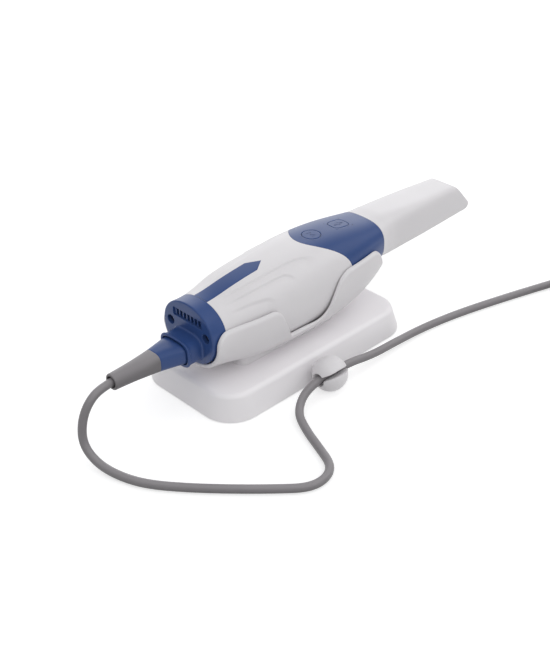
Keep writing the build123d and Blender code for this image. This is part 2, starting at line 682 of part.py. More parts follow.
# Blower housing: round chamber, inlet above, outlet towards the vents, and the rotor's pin
BLOWER_X = BLOWER_REAR_X + BLOWER_LENGTH / 2
ROTOR_X = BLOWER_X + BLOWER_LENGTH / 2 - BLOWER_WALL - BLOWER_CAVITY_RADIUS
CHAMBER_HEIGHT = BLOWER_HEIGHT - 2 * BLOWER_WALL
with BuildPart() as blower_housing:
    with Locations((BLOWER_X, 0, BLOWER_Z)):
        Box(BLOWER_LENGTH, BLOWER_WIDTH, BLOWER_HEIGHT, align=(Align.CENTER, Align.CENTER, Align.MIN))
    with BuildSketch(Plane.XY.offset(BLOWER_Z + BLOWER_WALL)):
        with Locations((ROTOR_X, 0)):
            Circle(BLOWER_CAVITY_RADIUS)
        with Locations((BLOWER_REAR_X, -BLOWER_CAVITY_RADIUS)):
            Rectangle(ROTOR_X - BLOWER_REAR_X, 1.6 * BLOWER_CAVITY_RADIUS, align=(Align.MIN, Align.MIN))
    extrude(amount=CHAMBER_HEIGHT, mode=Mode.SUBTRACT)
    with BuildSketch(Plane.XY.offset(BLOWER_Z + BLOWER_HEIGHT - BLOWER_WALL)):
        with Locations((ROTOR_X, 0)):
            Circle(BLOWER_INLET_RADIUS)
    extrude(amount=BLOWER_WALL, mode=Mode.SUBTRACT)
    with BuildSketch(Plane.XY.offset(BLOWER_Z + BLOWER_WALL)):
        with Locations((ROTOR_X, 0)):
            Circle(ROTOR_PIN_RADIUS)
    extrude(amount=CHAMBER_HEIGHT - ROTOR_END_GAP)
blower_housing.part.label = "blower_housing"
export_step(blower_housing.part, "parts/blower_housing.step")

# Blower rotor on its pin
ROTOR_HEIGHT = CHAMBER_HEIGHT - 2 * ROTOR_END_GAP
with BuildPart() as blower_rotor:
    with BuildSketch(Plane.XY.offset(BLOWER_Z + BLOWER_WALL + ROTOR_END_GAP)):
        with Locations((ROTOR_X, 0)):
            Circle(ROTOR_HUB_RADIUS)
            with PolarLocations(0, ROTOR_BLADES):
                with Locations(Location((ROTOR_HUB_RADIUS - 0.5, 0), 25)):
                    Rectangle(
                        ROTOR_RADIUS - ROTOR_HUB_RADIUS,
                        ROTOR_BLADE_THICKNESS,
                        align=(Align.MIN, Align.CENTER),
                    )
    extrude(amount=ROTOR_HEIGHT)
    with BuildSketch(Plane.XY.offset(BLOWER_Z + BLOWER_WALL + ROTOR_END_GAP)):
        with Locations((ROTOR_X, 0)):
            Circle(ROTOR_PIN_RADIUS + ROTOR_BEARING_GAP)
    extrude(amount=ROTOR_HEIGHT, mode=Mode.SUBTRACT)
blower_rotor.part.label = "blower_rotor"
export_step(blower_rotor.part, "parts/blower_rotor.step")

# Cable socket behind the boss, seated in the rear bulkhead
BOSS_Z = (BOSS_TOP + BOSS_BOTTOM) / 2
PLUG_NOSE_X = REAR_X + CAP_WALL
with BuildPart() as cable_socket:
    with BuildSketch(Plane.YZ.offset(PLUG_NOSE_X)):
        with Locations((0, BOSS_Z)):
            Circle(SOCKET_RADIUS)
    extrude(amount=SOCKET_FRONT_X + BULKHEAD_THICKNESS + 1 - PLUG_NOSE_X)
    with BuildSketch(Plane.YZ.offset(PLUG_NOSE_X)):
        with Locations((0, BOSS_Z)):
            Circle(SOCKET_RADIUS + 1.2)
    extrude(amount=REAR_BULKHEAD_X - PLUG_NOSE_X)
cable_socket.part.label = "cable_socket"
export_step(cable_socket.part, "parts/cable_socket.step")

# Plug housing: its nose fills the boss, and its body tapers back to the strain relief
plug_root = (BOSS_HALF_WIDTH - BOSS_WALL, BOSS_TOP - BOSS_WALL, BOSS_BOTTOM + BOSS_WALL, BOSS_POWER)
plug_rear = (PLUG_HALF_WIDTH, PLUG_TOP, PLUG_BOTTOM, BOSS_POWER)
plug_nose = lofted(((BOSS_X - PLUG_GAP, *plug_root), (PLUG_NOSE_X, *plug_root)), PLUG_GAP)
plug_body = lofted(((PLUG_REAR_X, *plug_rear), (BOSS_X - PLUG_GAP, *plug_root)), 0)
with BuildPart() as plug_housing:
    add(plug_body)
    add(plug_nose)
plug_housing.part.label = "plug_housing"
export_step(plug_housing.part, "parts/plug_housing.step")

# Strain relief, hollow at its mouth round the cord
CORD_EXIT_Z = BOSS_Z + CORD_EXIT_RISE
relief_end = (RELIEF_END_RADIUS, CORD_EXIT_Z + RELIEF_END_RADIUS, CORD_EXIT_Z - RELIEF_END_RADIUS, 2.0)
relief_solid = lofted(((RELIEF_END_X, *relief_end), (PLUG_REAR_X, *plug_rear)), 0)
with BuildPart() as strain_relief:
    add(relief_solid)
    with BuildSketch(Plane.YZ.offset(RELIEF_END_X)):
        with Locations((0, CORD_EXIT_Z)):
            Circle(RELIEF_MOUTH_RADIUS)
    extrude(amount=RELIEF_MOUTH_DEPTH, mode=Mode.SUBTRACT)
strain_relief.part.label = "strain_relief"
export_step(strain_relief.part, "parts/strain_relief.step")

# Optics housing: a flange round the bench, then a tapered tube into the tip with a groove for the seal
nose_stations = (HULL[-2],) + TIP[:5]
nose_outer = lofted(nose_stations, TIP_WALL + NOSE_GAP)
nose_inner = lofted(nose_stations, TIP_WALL + NOSE_GAP + NOSE_WALL)
ring_hole = lofted(TIP, TIP_WALL + NOSE_GAP + RING_DEPTH)
with BuildPart() as nose_flange:
    add(hull_fit)
    add(slab(NOSE_FLANGE_X, NOSE_REAR_X), mode=Mode.INTERSECT)
with BuildPart() as ring_band:
    add(slab(RING_X, RING_X + RING_WIDTH))
    add(ring_hole, mode=Mode.SUBTRACT)
with BuildPart() as nose_cavity:
    add(nose_inner)
    add(slab(NOSE_REAR_X, NOSE_FRONT_X - NOSE_WALL), mode=Mode.INTERSECT)
with BuildPart() as optics_housing:
    add(nose_outer)
    add(nose_flange.part)
    add(nose_cavity.part, mode=Mode.SUBTRACT)
    add(ring_band.part, mode=Mode.SUBTRACT)
    with BuildSketch(Plane.YZ.offset(NOSE_FLANGE_X)):
        with Locations((0, BARREL_Z)):
            Rectangle(2 * BENCH_HALF_WIDTH, 2 * BENCH_HALF_HEIGHT)
    extrude(amount=NOSE_REAR_X - NOSE_FLANGE_X, mode=Mode.SUBTRACT)
    with BuildSketch(Plane.YZ.offset(NOSE_FRONT_X - NOSE_WALL)):
        with Locations((0, BARREL_Z)):
            RectangleRounded(2 * NOSE_GLASS_HALF_WIDTH, 2 * NOSE_GLASS_HALF_HEIGHT, 1)
    extrude(amount=NOSE_WALL, mode=Mode.SUBTRACT)
optics_housing.part.label = "optics_housing"
export_step(optics_housing.part, "parts/optics_housing.step")

# Glass in the front wall of the optics housing
with BuildPart() as optics_glass:
    with BuildSketch(Plane.YZ.offset(NOSE_FRONT_X - NOSE_GLASS_THICKNESS)):
        with Locations((0, BARREL_Z)):
            RectangleRounded(2 * NOSE_GLASS_HALF_WIDTH, 2 * NOSE_GLASS_HALF_HEIGHT, 1)
    extrude(amount=NOSE_GLASS_THICKNESS)
optics_glass.part.label = "optics_glass"
export_step(optics_glass.part, "parts/optics_glass.step")

# Seal ring in its groove, just clear of the sleeve
with BuildPart() as seal_ring:
    add(lofted(TIP, TIP_WALL + FIT))
    add(ring_hole, mode=Mode.SUBTRACT)
    add(slab(RING_X + 0.1, RING_X + RING_WIDTH - 0.1), mode=Mode.INTERSECT)
seal_ring.part.label = "seal_ring"
export_step(seal_ring.part, "parts/seal_ring.step")

# Optical bench with two bores, seated in the front bulkhead
with BuildPart() as optical_bench:
    with BuildSketch(Plane.YZ.offset(BENCH_REAR_X)):
        with Locations((0, BARREL_Z)):
            Rectangle(2 * BENCH_HALF_WIDTH, 2 * BENCH_HALF_HEIGHT)
        with Locations((-BARREL_Y, BARREL_Z), (BARREL_Y, BARREL_Z)):
            Circle(BARREL_RADIUS, mode=Mode.SUBTRACT)
    extrude(amount=BENCH_FRONT_X - BENCH_REAR_X)
optical_bench.part.label = "optical_bench"
export_step(optical_bench.part, "parts/optical_bench.step")


def barrel(side):
    """A lens barrel: a tube along X with a seat for its lens at the front."""
    with BuildPart() as tube:
        with BuildSketch(Plane.YZ.offset(BARREL_REAR_X)):
            with Locations((side * BARREL_Y, BARREL_Z)):
                Circle(BARREL_RADIUS)
                Circle(BARREL_BORE, mode=Mode.SUBTRACT)
        extrude(amount=BARREL_FRONT_X - BARREL_REAR_X)
    return tube.part


def lens(side):
    """A biconvex lens that fills the bore near the barrel's front."""
    with BuildPart() as disc:
        with BuildSketch(Plane.YZ.offset(BARREL_FRONT_X - LENS_SETBACK - LENS_THICKNESS)):
            with Locations((side * BARREL_Y, BARREL_Z)):
                Circle(BARREL_BORE)
        extrude(amount=LENS_THICKNESS)
        chamfer(disc.edges().filter_by(GeomType.CIRCLE), 0.4)
    return disc.part


def optics_board(side):
    """A small board across the rear end of a barrel."""
    with BuildPart() as board:
        with BuildSketch(Plane.YZ.offset(BARREL_REAR_X - OPTICS_BOARD_THICKNESS)):
            with Locations((side * (BARREL_Y + 0.3), BARREL_Z)):
                Rectangle(2 * BARREL_Y, 2 * OPTICS_BOARD_HALF_HEIGHT)
        extrude(amount=OPTICS_BOARD_THICKNESS)
        with Locations((BARREL_REAR_X - OPTICS_BOARD_THICKNESS, side * BARREL_Y, BARREL_Z)):
            Box(1.4, 6, 6, align=(Align.MAX, Align.CENTER, Align.CENTER))
    return board.part


for name, side in (("camera", -1), ("projector", 1)):
    pieces = {"barrel": barrel(side), "lens": lens(side), "board": optics_board(side)}
    for kind, piece in pieces.items():
        piece.label = f"{name}_{kind}"
        export_step(piece, f"parts/{name}_{kind}.step")

# Tip sleeve: hollow, open at the rear, with a raked end and a window in its underside
rake_run = RAKE_LOW_X - RAKE_TOP_X
rake_drop = RAKE_TOP_Z - RAKE_LOW_Z
rake_slant = math.hypot(rake_run, rake_drop)
rake_normal = (rake_drop / rake_slant, rake_run / rake_slant)


def rake_point(along, inward):
    """A point on the raked end, from its top edge, moved in from the outer face."""
    return (
        RAKE_TOP_X + along * rake_run / rake_slant - inward * rake_normal[0],
        RAKE_TOP_Z - along * rake_drop / rake_slant - inward * rake_normal[1],
    )


def behind_rake(inward):
    """Everything behind the raked end, moved in from the outer face."""
    with BuildPart() as prism:
        with BuildSketch(Plane.XZ):
            with BuildLine():
                Polyline(
                    rake_point(-30, inward),
                    rake_point(50, inward),
                    (FRONT_X - 20, rake_point(50, inward)[1]),
                    (FRONT_X - 20, rake_point(-30, inward)[1]),
                    close=True,
                )
            make_face()
        extrude(amount=60, both=True)
    return prism.part


tip_inner = lofted(TIP, TIP_WALL)
with BuildPart() as tip_cavity:
    add(tip_inner)
    add(behind_rake(RAKE_WALL), mode=Mode.INTERSECT)
with BuildPart() as tip_sleeve:
    add(lofted(TIP, 0))
    add(behind_rake(0), mode=Mode.INTERSECT)
    add(slab(FRONT_X + TIP_SEAM, TIP_END_X + 1), mode=Mode.INTERSECT)
    add(tip_cavity.part, mode=Mode.SUBTRACT)
    with BuildSketch(Plane.XY.offset(TIP_BOTTOM - 1)):
        with Locations(((WINDOW_REAR_X + WINDOW_FRONT_X) / 2, 0)):
            RectangleRounded(WINDOW_FRONT_X - WINDOW_REAR_X, 2 * WINDOW_HALF_WIDTH, 1.5)
    extrude(amount=TIP_WALL + 1.4, mode=Mode.SUBTRACT)
tip_sleeve.part.label = "tip_sleeve"
export_step(tip_sleeve.part, "parts/tip_sleeve.step")

# Scanning window pane in the underside of the tip
with BuildPart() as tip_window:
    with BuildSketch(Plane.XY.offset(TIP_BOTTOM + 0.3)):
        with Locations(((WINDOW_REAR_X + WINDOW_FRONT_X) / 2, 0)):
            RectangleRounded(WINDOW_FRONT_X - WINDOW_REAR_X, 2 * WINDOW_HALF_WIDTH, 1.5)
    extrude(amount=WINDOW_THICKNESS)
tip_window.part.label = "tip_window"
export_step(tip_window.part, "parts/tip_window.step")

# Mirror on the inside of the raked end
MIRROR_START = 4.2
MIRROR_LENGTH = 13.4
with BuildPart() as tip_mirror:
    with BuildSketch(Plane.XZ):
        with BuildLine():
            Polyline(
                rake_point(MIRROR_START, RAKE_WALL),
                rake_point(MIRROR_START + MIRROR_LENGTH, RAKE_WALL),
                rake_point(MIRROR_START + MIRROR_LENGTH, RAKE_WALL + MIRROR_THICKNESS),
                rake_point(MIRROR_START, RAKE_WALL + MIRROR_THICKNESS),
                close=True,
            )
        make_face()
    extrude(amount=MIRROR_HALF_WIDTH, both=True)
tip_mirror.part.label = "tip_mirror"
export_step(tip_mirror.part, "parts/tip_mirror.step")

# Cradle: a trough round the underside of the handle, cut down to finger notches at both sides
cradle_profile = side_profile(
    (
        (CRADLE_REAR_X, 0),
        (CRADLE_REAR_X, WING_TOP_REAR - 1),
        (NOTCH_REAR_X - 10.2, WING_TOP_REAR),
        (NOTCH_REAR_X, NOTCH_FLOOR),
        (NOTCH_FRONT_X, NOTCH_FLOOR),
        (NOTCH_FRONT_X + 16.5, WING_TOP_FRONT),
        (CRADLE_FRONT_X - 8, WING_TOP_FRONT),
        (CRADLE_FRONT_X, WING_TOP_FRONT - 16),
        (CRADLE_FRONT_X - 4, 0),
    ),
    (0.5, 9, 7, 4.5, 9, 8, 9, 5, 0.5),
    60,
)
cradle_outer = lofted(HULL, -CRADLE_GAP - CRADLE_WALL)
cradle_inner = lofted(HULL, -CRADLE_GAP)
with BuildPart() as cradle:
    add(cradle_outer)
    with Locations(((CRADLE_FOOT_REAR_X + CRADLE_FOOT_FRONT_X) / 2, 0, BASE_TOP)):
        Box(
            CRADLE_FOOT_FRONT_X - CRADLE_FOOT_REAR_X,
            2 * CRADLE_FOOT_HALF_WIDTH,
            12,
            align=(Align.CENTER, Align.CENTER, Align.MIN),
        )
    add(cradle_inner, mode=Mode.SUBTRACT)
    add(cradle_profile, mode=Mode.INTERSECT)
    with BuildSketch(Plane.XY.offset(BASE_TOP)):
        with Locations([(x, 0) for x in CRADLE_SCREW_X]):
            Circle(SCREW_RADIUS)
    extrude(amount=GRIP_BOTTOM - CRADLE_GAP - BASE_TOP - 0.6, mode=Mode.SUBTRACT)
cradle.part.label = "cradle"
export_step(cradle.part, "parts/cradle.step")


def plan_block(inset, bottom, top, corner=BASE_CORNER):
    """A block with the base's rounded outline in plan, moved in by the inset."""
    with BuildPart() as block:
        with BuildSketch(Plane.XY.offset(bottom)):
            RectangleRounded(BASE_LENGTH - 2 * inset, BASE_WIDTH - 2 * inset, corner - inset)
        extrude(amount=top - bottom)
    return block.part


# Base shell: drafted sides, hollow from below, with screw posts
BASE_CEILING = BASE_TOP - BASE_WALL
COVER_TOP = PAD_THICKNESS + COVER_THICKNESS
base_posts = [(x * BASE_POST_X, y * BASE_POST_Y) for x in (-1, 1) for y in (-1, 1)]
draft_inset = (BASE_TOP - FLOOR_GAP) * math.tan(math.radians(BASE_DRAFT))
with BuildPart() as base_shell:
    with BuildSketch(Plane.XY.offset(FLOOR_GAP)):
        RectangleRounded(BASE_LENGTH, BASE_WIDTH, BASE_CORNER)
    extrude(amount=BASE_TOP - FLOOR_GAP, taper=BASE_DRAFT)
    fillet(base_shell.faces().sort_by(Axis.Z)[-1].edges(), BASE_TOP_FILLET)
    fillet(base_shell.faces().sort_by(Axis.Z)[0].edges(), BASE_FOOT_FILLET)
    add(plan_block(COVER_INSET - COVER_CLEARANCE, 0, COVER_TOP), mode=Mode.SUBTRACT)
    add(plan_block(draft_inset + BASE_WALL, COVER_TOP, BASE_CEILING), mode=Mode.SUBTRACT)
    with BuildSketch(Plane.XY.offset(COVER_TOP)):
        with Locations(base_posts):
            Circle(BASE_POST_RADIUS)
    extrude(amount=BASE_CEILING - COVER_TOP)
    with BuildSketch(Plane.XY.offset(COVER_TOP)):
        with Locations(base_posts):
            Circle(SCREW_RADIUS)
    extrude(amount=BASE_CEILING - COVER_TOP, mode=Mode.SUBTRACT)
    with BuildSketch(Plane.XY.offset(BASE_CEILING)):
        with Locations([(x, 0) for x in CRADLE_SCREW_X]):
            Circle(SCREW_RADIUS + SCREW_CLEARANCE)
    extrude(amount=BASE_WALL, mode=Mode.SUBTRACT)
    with BuildSketch(Plane.XZ.offset(-CLIP_NECK_END_Y)):
        with Locations((CLIP_X, CLIP_NECK_Z)):
            Circle(CLIP_NECK_RADIUS)
    extrude(amount=BASE_WIDTH / 2 + CLIP_NECK_END_Y, mode=Mode.SUBTRACT)
base_shell.part.label = "base_shell"
export_step(base_shell.part, "parts/base_shell.step")

# Base cover, held by four screws
with BuildPart() as base_cover:
    add(plan_block(COVER_INSET, PAD_THICKNESS, COVER_TOP))
    with BuildSketch(Plane.XY.offset(PAD_THICKNESS)):
        with Locations(base_posts):
            Circle(SCREW_RADIUS + SCREW_CLEARANCE)
    extrude(amount=COVER_THICKNESS, mode=Mode.SUBTRACT)
base_cover.part.label = "base_cover"
export_step(base_cover.part, "parts/base_cover.step")

# Steel ballast lying on the cover
with BuildPart() as ballast_plate:
    with BuildSketch(Plane.XY.offset(COVER_TOP)):
        RectangleRounded(BALLAST_LENGTH, BALLAST_WIDTH, 4)
    extrude(amount=BALLAST_THICKNESS)
ballast_plate.part.label = "ballast_plate"
export_step(ballast_plate.part, "parts/ballast_plate.step")

# Base screws from below, their heads under the cover in wells of the pad
with BuildPart() as base_screws:
    for place in base_posts:
        with BuildSketch(Plane.XY.offset(PAD_THICKNESS - 0.7)):
            with Locations(place):
                Circle(SCREW_HEAD_RADIUS)
        extrude(amount=0.7)
        with BuildSketch(Plane.XY.offset(PAD_THICKNESS)):
            with Locations(place):
                Circle(SCREW_RADIUS)
        extrude(amount=8)
base_screws.part.label = "base_screws"
export_step(base_screws.part, "parts/base_screws.step")

# Rubber pad under the base
with BuildPart() as rubber_pad:
    add(plan_block(PAD_INSET, 0, PAD_THICKNESS))
    with BuildSketch():
        with Locations(base_posts):
            Circle(SCREW_HEAD_RADIUS + SCREW_CLEARANCE)
    extrude(amount=PAD_THICKNESS, mode=Mode.SUBTRACT)
rubber_pad.part.label = "rubber_pad"
export_step(rubber_pad.part, "parts/rubber_pad.step")

# Cradle screws, driven up through the base
with BuildPart() as cradle_screws:
    for x in CRADLE_SCREW_X:
        with BuildSketch(Plane.XY.offset(BASE_CEILING - SCREW_HEAD_HEIGHT)):
            with Locations((x, 0)):
                Circle(SCREW_HEAD_RADIUS)
        extrude(amount=SCREW_HEAD_HEIGHT)
        with BuildSketch(Plane.XY.offset(BASE_CEILING)):
            with Locations((x, 0)):
                Circle(SCREW_RADIUS)
        extrude(amount=BASE_WALL + 2.0)
cradle_screws.part.label = "cradle_screws"
export_step(cradle_screws.part, "parts/cradle_screws.step")

# Cable clip: a ball turned round its bore, with flared mouths, a slit on its outer side and a neck
clip_bore = CORD_RADIUS + CLIP_BORE_CLEARANCE
clip_mouth_x = math.sqrt(CLIP_RADIUS**2 - CLIP_MOUTH_RADIUS**2)
clip_centre = (CLIP_X, CLIP_Y, CLIP_Z)
with BuildPart() as cable_clip:
    with BuildSketch(Plane(origin=clip_centre, x_dir=(1, 0, 0), z_dir=(0, -1, 0))):
        with BuildLine():
            ThreePointArc(
                (-clip_mouth_x, CLIP_MOUTH_RADIUS),
                (0, CLIP_RADIUS),
                (clip_mouth_x, CLIP_MOUTH_RADIUS),
            )
            Polyline(
                (clip_mouth_x, CLIP_MOUTH_RADIUS),
                (clip_mouth_x - CLIP_MOUTH_LENGTH, clip_bore),
                (CLIP_MOUTH_LENGTH - clip_mouth_x, clip_bore),
                (-clip_mouth_x, CLIP_MOUTH_RADIUS),
            )
        make_face()
    revolve(axis=Axis(clip_centre, (1, 0, 0)))
    with BuildSketch(Plane.XZ.offset(-CLIP_NECK_END_Y)):
        with Locations((CLIP_X, CLIP_NECK_Z)):
            Circle(CLIP_NECK_RADIUS)
    extrude(amount=CLIP_NECK_END_Y - CLIP_Y - CLIP_RADIUS + CLIP_NECK_SINK)
    with Locations(clip_centre):
        Box(
            3 * CLIP_RADIUS,
            2 * CLIP_RADIUS,
            CLIP_SLIT,
            align=(Align.CENTER, Align.MAX, Align.CENTER),
            mode=Mode.SUBTRACT,
        )
cable_clip.part.label = "cable_clip"
export_step(cable_clip.part, "parts/cable_clip.step")

# Route of the cord, from the strain relief to its coil
CORD_ROUTE = (
    (RELIEF_END_X + RELIEF_MOUTH_DEPTH, 0, CORD_EXIT_Z),
    (-128.0, -0.2, 37.0),
    (-136.4, -1.0, 32.4),
    (-141.8, -1.6, 23.8),
    (-144.0, -3.2, 12.0),
    (-143.4, -12.6, 4.6),
    (-140.6, -26.5, CORD_RADIUS),
    (-134.6, -42.5, CORD_RADIUS),
    (-121.6, -59.5, CORD_RADIUS),
    (-105.0, -77.6, CORD_RADIUS),
    (-90.0, -92.4, CORD_RADIUS),
    (-78.5, -102.8, CORD_RADIUS),
    (-67.6, -104.6, CORD_RADIUS),
    (-57.6, -99.4, CORD_RADIUS),
    (-52.0, -85.6, CORD_RADIUS),
    (-46.0, -69.5, CORD_RADIUS),
    (-39.2, -55.6, 4.0),
    (-25.5, -49.8, 10.4),
    (6.0, -49.6, 10.6),
    (28.0, -50.2, 6.4),
    (50.0, -48.6, 4.0),
    (77.0, -48.9, CORD_RADIUS),
    (105.0, -54.0, CORD_RADIUS),
    (140.0, -63.6, CORD_RADIUS),
    (171.0, -73.2, CORD_RADIUS),
    (200.1, -82.7, CORD_RADIUS),
)
# Route of the free end, from the top of the coil down to the plug
TAIL_ROUTE = (
    (COIL_X, COIL_Y - COIL_OUTER_RADIUS + CORD_RADIUS, 3 * CORD_RADIUS),
    (177.0, -153.2, 5.6),
    (165.0, -154.2, 4.4),
    (USB_RELIEF_START_X, USB_Y, USB_HOUSING_HEIGHT / 2),
)


def arc_radii(route):
    """The largest tangent arc at each inner point, as 0.45 of the shorter run allows."""
    radii = []
    for before, here, after in zip(route, route[1:], route[2:]):
        run_in = Vector(here) - Vector(before)
        run_out = Vector(after) - Vector(here)
        half_turn = math.radians(run_in.get_angle(run_out)) / 2
        radii.append(0.45 * min(run_in.length, run_out.length) / math.tan(half_turn))
    return radii


def cord_tube(route):
    """A round tube along the route."""
    with BuildPart() as tube:
        with BuildLine() as path:
            FilletPolyline(route, radius=arc_radii(route))
        with BuildSketch(Plane(origin=route[0], z_dir=Vector(route[1]) - Vector(route[0]))):
            Circle(CORD_RADIUS)
        sweep(path=path.line)
    length = sum(edge.length for edge in path.edges())
    print("radii", [round(r, 1) for r in arc_radii(route)])
    print("length", round(length, 1), "volume ratio", tube.part.volume / (length * math.pi * CORD_RADIUS**2))
    return tube.part


# Stored coil: the outer shape of its turns
coil_height = COIL_LAYERS * 2 * CORD_RADIUS
with BuildPart() as cord_coil:
    with BuildSketch():
        with Locations((COIL_X, COIL_Y)):
            Circle(COIL_OUTER_RADIUS)
            Circle(COIL_INNER_RADIUS, mode=Mode.SUBTRACT)
    extrude(amount=coil_height)
    fillet(cord_coil.edges(), CORD_RADIUS * 0.8)
cord_coil.part.label = "cord_coil"
export_step(cord_coil.part, "parts/cord_coil.step")

# Cord up to the coil
with BuildPart() as cord:
    add(cord_tube(CORD_ROUTE))
    add(cord_coil.part, mode=Mode.SUBTRACT)
cord.part.label = "cord"
export_step(cord.part, "parts/cord.step")

# Free end between the coil and the plug
with BuildPart() as cord_tail:
    add(cord_tube(TAIL_ROUTE))
    add(cord_coil.part, mode=Mode.SUBTRACT)
cord_tail.part.label = "cord_tail"
export_step(cord_tail.part, "parts/cord_tail.step")

# Plug at the far end: relief, moulded housing and metal shell
USB_Z = USB_HOUSING_HEIGHT / 2
USB_HOUSING_X = USB_RELIEF_START_X - USB_RELIEF_LENGTH
USB_SHELL_X = USB_HOUSING_X - USB_HOUSING_LENGTH
with BuildPart() as usb_relief:
    with BuildSketch(Plane.YZ.offset(USB_HOUSING_X)):
        with Locations((USB_Y, USB_Z)):
            Circle(USB_HOUSING_HEIGHT / 2 - 0.3)
    with BuildSketch(Plane.YZ.offset(USB_RELIEF_START_X)):
        with Locations((USB_Y, USB_Z)):
            Circle(CORD_RADIUS + 0.7)
    loft()
usb_relief.part.label = "usb_relief"
export_step(usb_relief.part, "parts/usb_relief.step")

with BuildPart() as usb_housing:
    with BuildSketch(Plane.YZ.offset(USB_SHELL_X)):
        with Locations((USB_Y, USB_Z)):
            RectangleRounded(USB_HOUSING_WIDTH, USB_HOUSING_HEIGHT, 2.4)
    extrude(amount=USB_HOUSING_LENGTH)
    fillet(usb_housing.faces().sort_by(Axis.X)[-1].edges(), 1.2)
usb_housing.part.label = "usb_housing"
export_step(usb_housing.part, "parts/usb_housing.step")

with BuildPart() as usb_shell:
    with BuildSketch(Plane.YZ.offset(USB_SHELL_X)):
        with Locations((USB_Y, USB_Z)):
            Rectangle(USB_SHELL_WIDTH, USB_SHELL_HEIGHT)
            Rectangle(
                USB_SHELL_WIDTH - 2 * USB_SHELL_WALL,
                USB_SHELL_HEIGHT - 2 * USB_SHELL_WALL,
                mode=Mode.SUBTRACT,
            )
    extrude(amount=-USB_SHELL_LENGTH)
    # Tongue with the contacts
    with Locations((USB_SHELL_X, USB_Y, USB_Z + USB_SHELL_HEIGHT / 2 - USB_SHELL_WALL)):
        Box(
            USB_SHELL_LENGTH - 1,
            USB_SHELL_WIDTH - 2 * USB_SHELL_WALL,
            1.6,
            align=(Align.MAX, Align.CENTER, Align.MAX),
        )
usb_shell.part.label = "usb_shell"
export_step(usb_shell.part, "parts/usb_shell.step")
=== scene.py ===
"""The scanner in its cradle, built around the pack's frame.

Lengths are in millimetres until MM turns them into metres. X points to the scanner's tip and Z up.
"""

import json
import math

import bmesh
import bpy
import numpy as np
from mathutils import Matrix, Vector


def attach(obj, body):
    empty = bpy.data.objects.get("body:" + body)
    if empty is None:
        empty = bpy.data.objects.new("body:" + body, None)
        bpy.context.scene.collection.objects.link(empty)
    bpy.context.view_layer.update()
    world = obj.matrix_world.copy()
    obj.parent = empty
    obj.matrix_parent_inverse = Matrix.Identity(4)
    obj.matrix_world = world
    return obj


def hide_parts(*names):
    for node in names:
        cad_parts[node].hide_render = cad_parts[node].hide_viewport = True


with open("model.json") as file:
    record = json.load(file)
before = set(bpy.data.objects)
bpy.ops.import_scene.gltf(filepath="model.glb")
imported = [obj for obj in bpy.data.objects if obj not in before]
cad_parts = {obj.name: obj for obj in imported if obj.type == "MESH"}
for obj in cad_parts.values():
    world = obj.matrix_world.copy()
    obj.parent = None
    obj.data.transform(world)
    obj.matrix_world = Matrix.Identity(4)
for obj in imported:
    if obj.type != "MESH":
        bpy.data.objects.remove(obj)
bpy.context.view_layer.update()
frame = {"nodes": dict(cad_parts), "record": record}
MM = 0.001
ROOT = "scanner_and_dock"
QUARTER, FULL_TURN = math.pi / 2, 2 * math.pi

# Camera, at the photograph's viewing angle; distances in metres
AZIMUTH, ELEVATION, ROLL = (math.radians(v) for v in (-43.24, 33.43, -1.27))
AIM = Vector((0.00871, 0.01162, 0))
DISTANCE = 0.69739
level = Vector((math.sin(AZIMUTH), -math.cos(AZIMUTH), 0))
back = level * math.cos(ELEVATION) + Vector((0, 0, math.sin(ELEVATION)))
right = Vector((math.cos(AZIMUTH), math.sin(AZIMUTH), 0))
up = back.cross(right)
rolled_right = right * math.cos(ROLL) + up * math.sin(ROLL)
rolled_up = -right * math.sin(ROLL) + up * math.cos(ROLL)
camera_data = bpy.data.cameras.new("camera")
camera_data.lens = 61.32
camera_data.sensor_width = 36
camera_data.clip_start = 0.01
camera = bpy.data.objects.new("camera", camera_data)
bpy.context.collection.objects.link(camera)
rotation = Matrix((rolled_right, rolled_up, back)).transposed().to_4x4()
camera.matrix_world = Matrix.Translation(AIM + back * DISTANCE) @ rotation
bpy.context.scene.camera = camera


# Materials
def material(name, build):
    m = bpy.data.materials.new(name)
    m.use_nodes = True
    build(m.node_tree.nodes, m.node_tree.links, m.node_tree.nodes["Principled BSDF"])
    return m


def noise(nodes, links, scale, detail):
    place = nodes.new("ShaderNodeTexCoord")
    texture = nodes.new("ShaderNodeTexNoise")
    texture.inputs["Scale"].default_value = scale
    texture.inputs["Detail"].default_value = detail
    links.new(place.outputs["Object"], texture.inputs["Vector"])
    return texture.outputs["Fac"]


def tint(nodes, links, shader, source, low, high):
    """Colours the base between two near colours, by a noise."""
    blend = nodes.new("ShaderNodeValToRGB")
    for element, place, colour in zip(blend.color_ramp.elements, (0.35, 0.65), (low, high)):
        element.position = place
        element.color = colour
    links.new(source, blend.inputs["Fac"])
    links.new(blend.outputs["Color"], shader.inputs["Base Color"])


def bump(nodes, links, shader, source, strength, distance):
    b = nodes.new("ShaderNodeBump")
    b.inputs["Strength"].default_value = strength
    b.inputs["Distance"].default_value = distance
    links.new(source, b.inputs["Height"])
    links.new(b.outputs["Normal"], shader.inputs["Normal"])


def map_range(nodes, links, source, given, wanted):
    node = nodes.new("ShaderNodeMapRange")
    for socket, value in zip(("From Min", "From Max", "To Min", "To Max"), (*given, *wanted)):
        node.inputs[socket].default_value = value
    links.new(source, node.inputs["Value"])
    return node


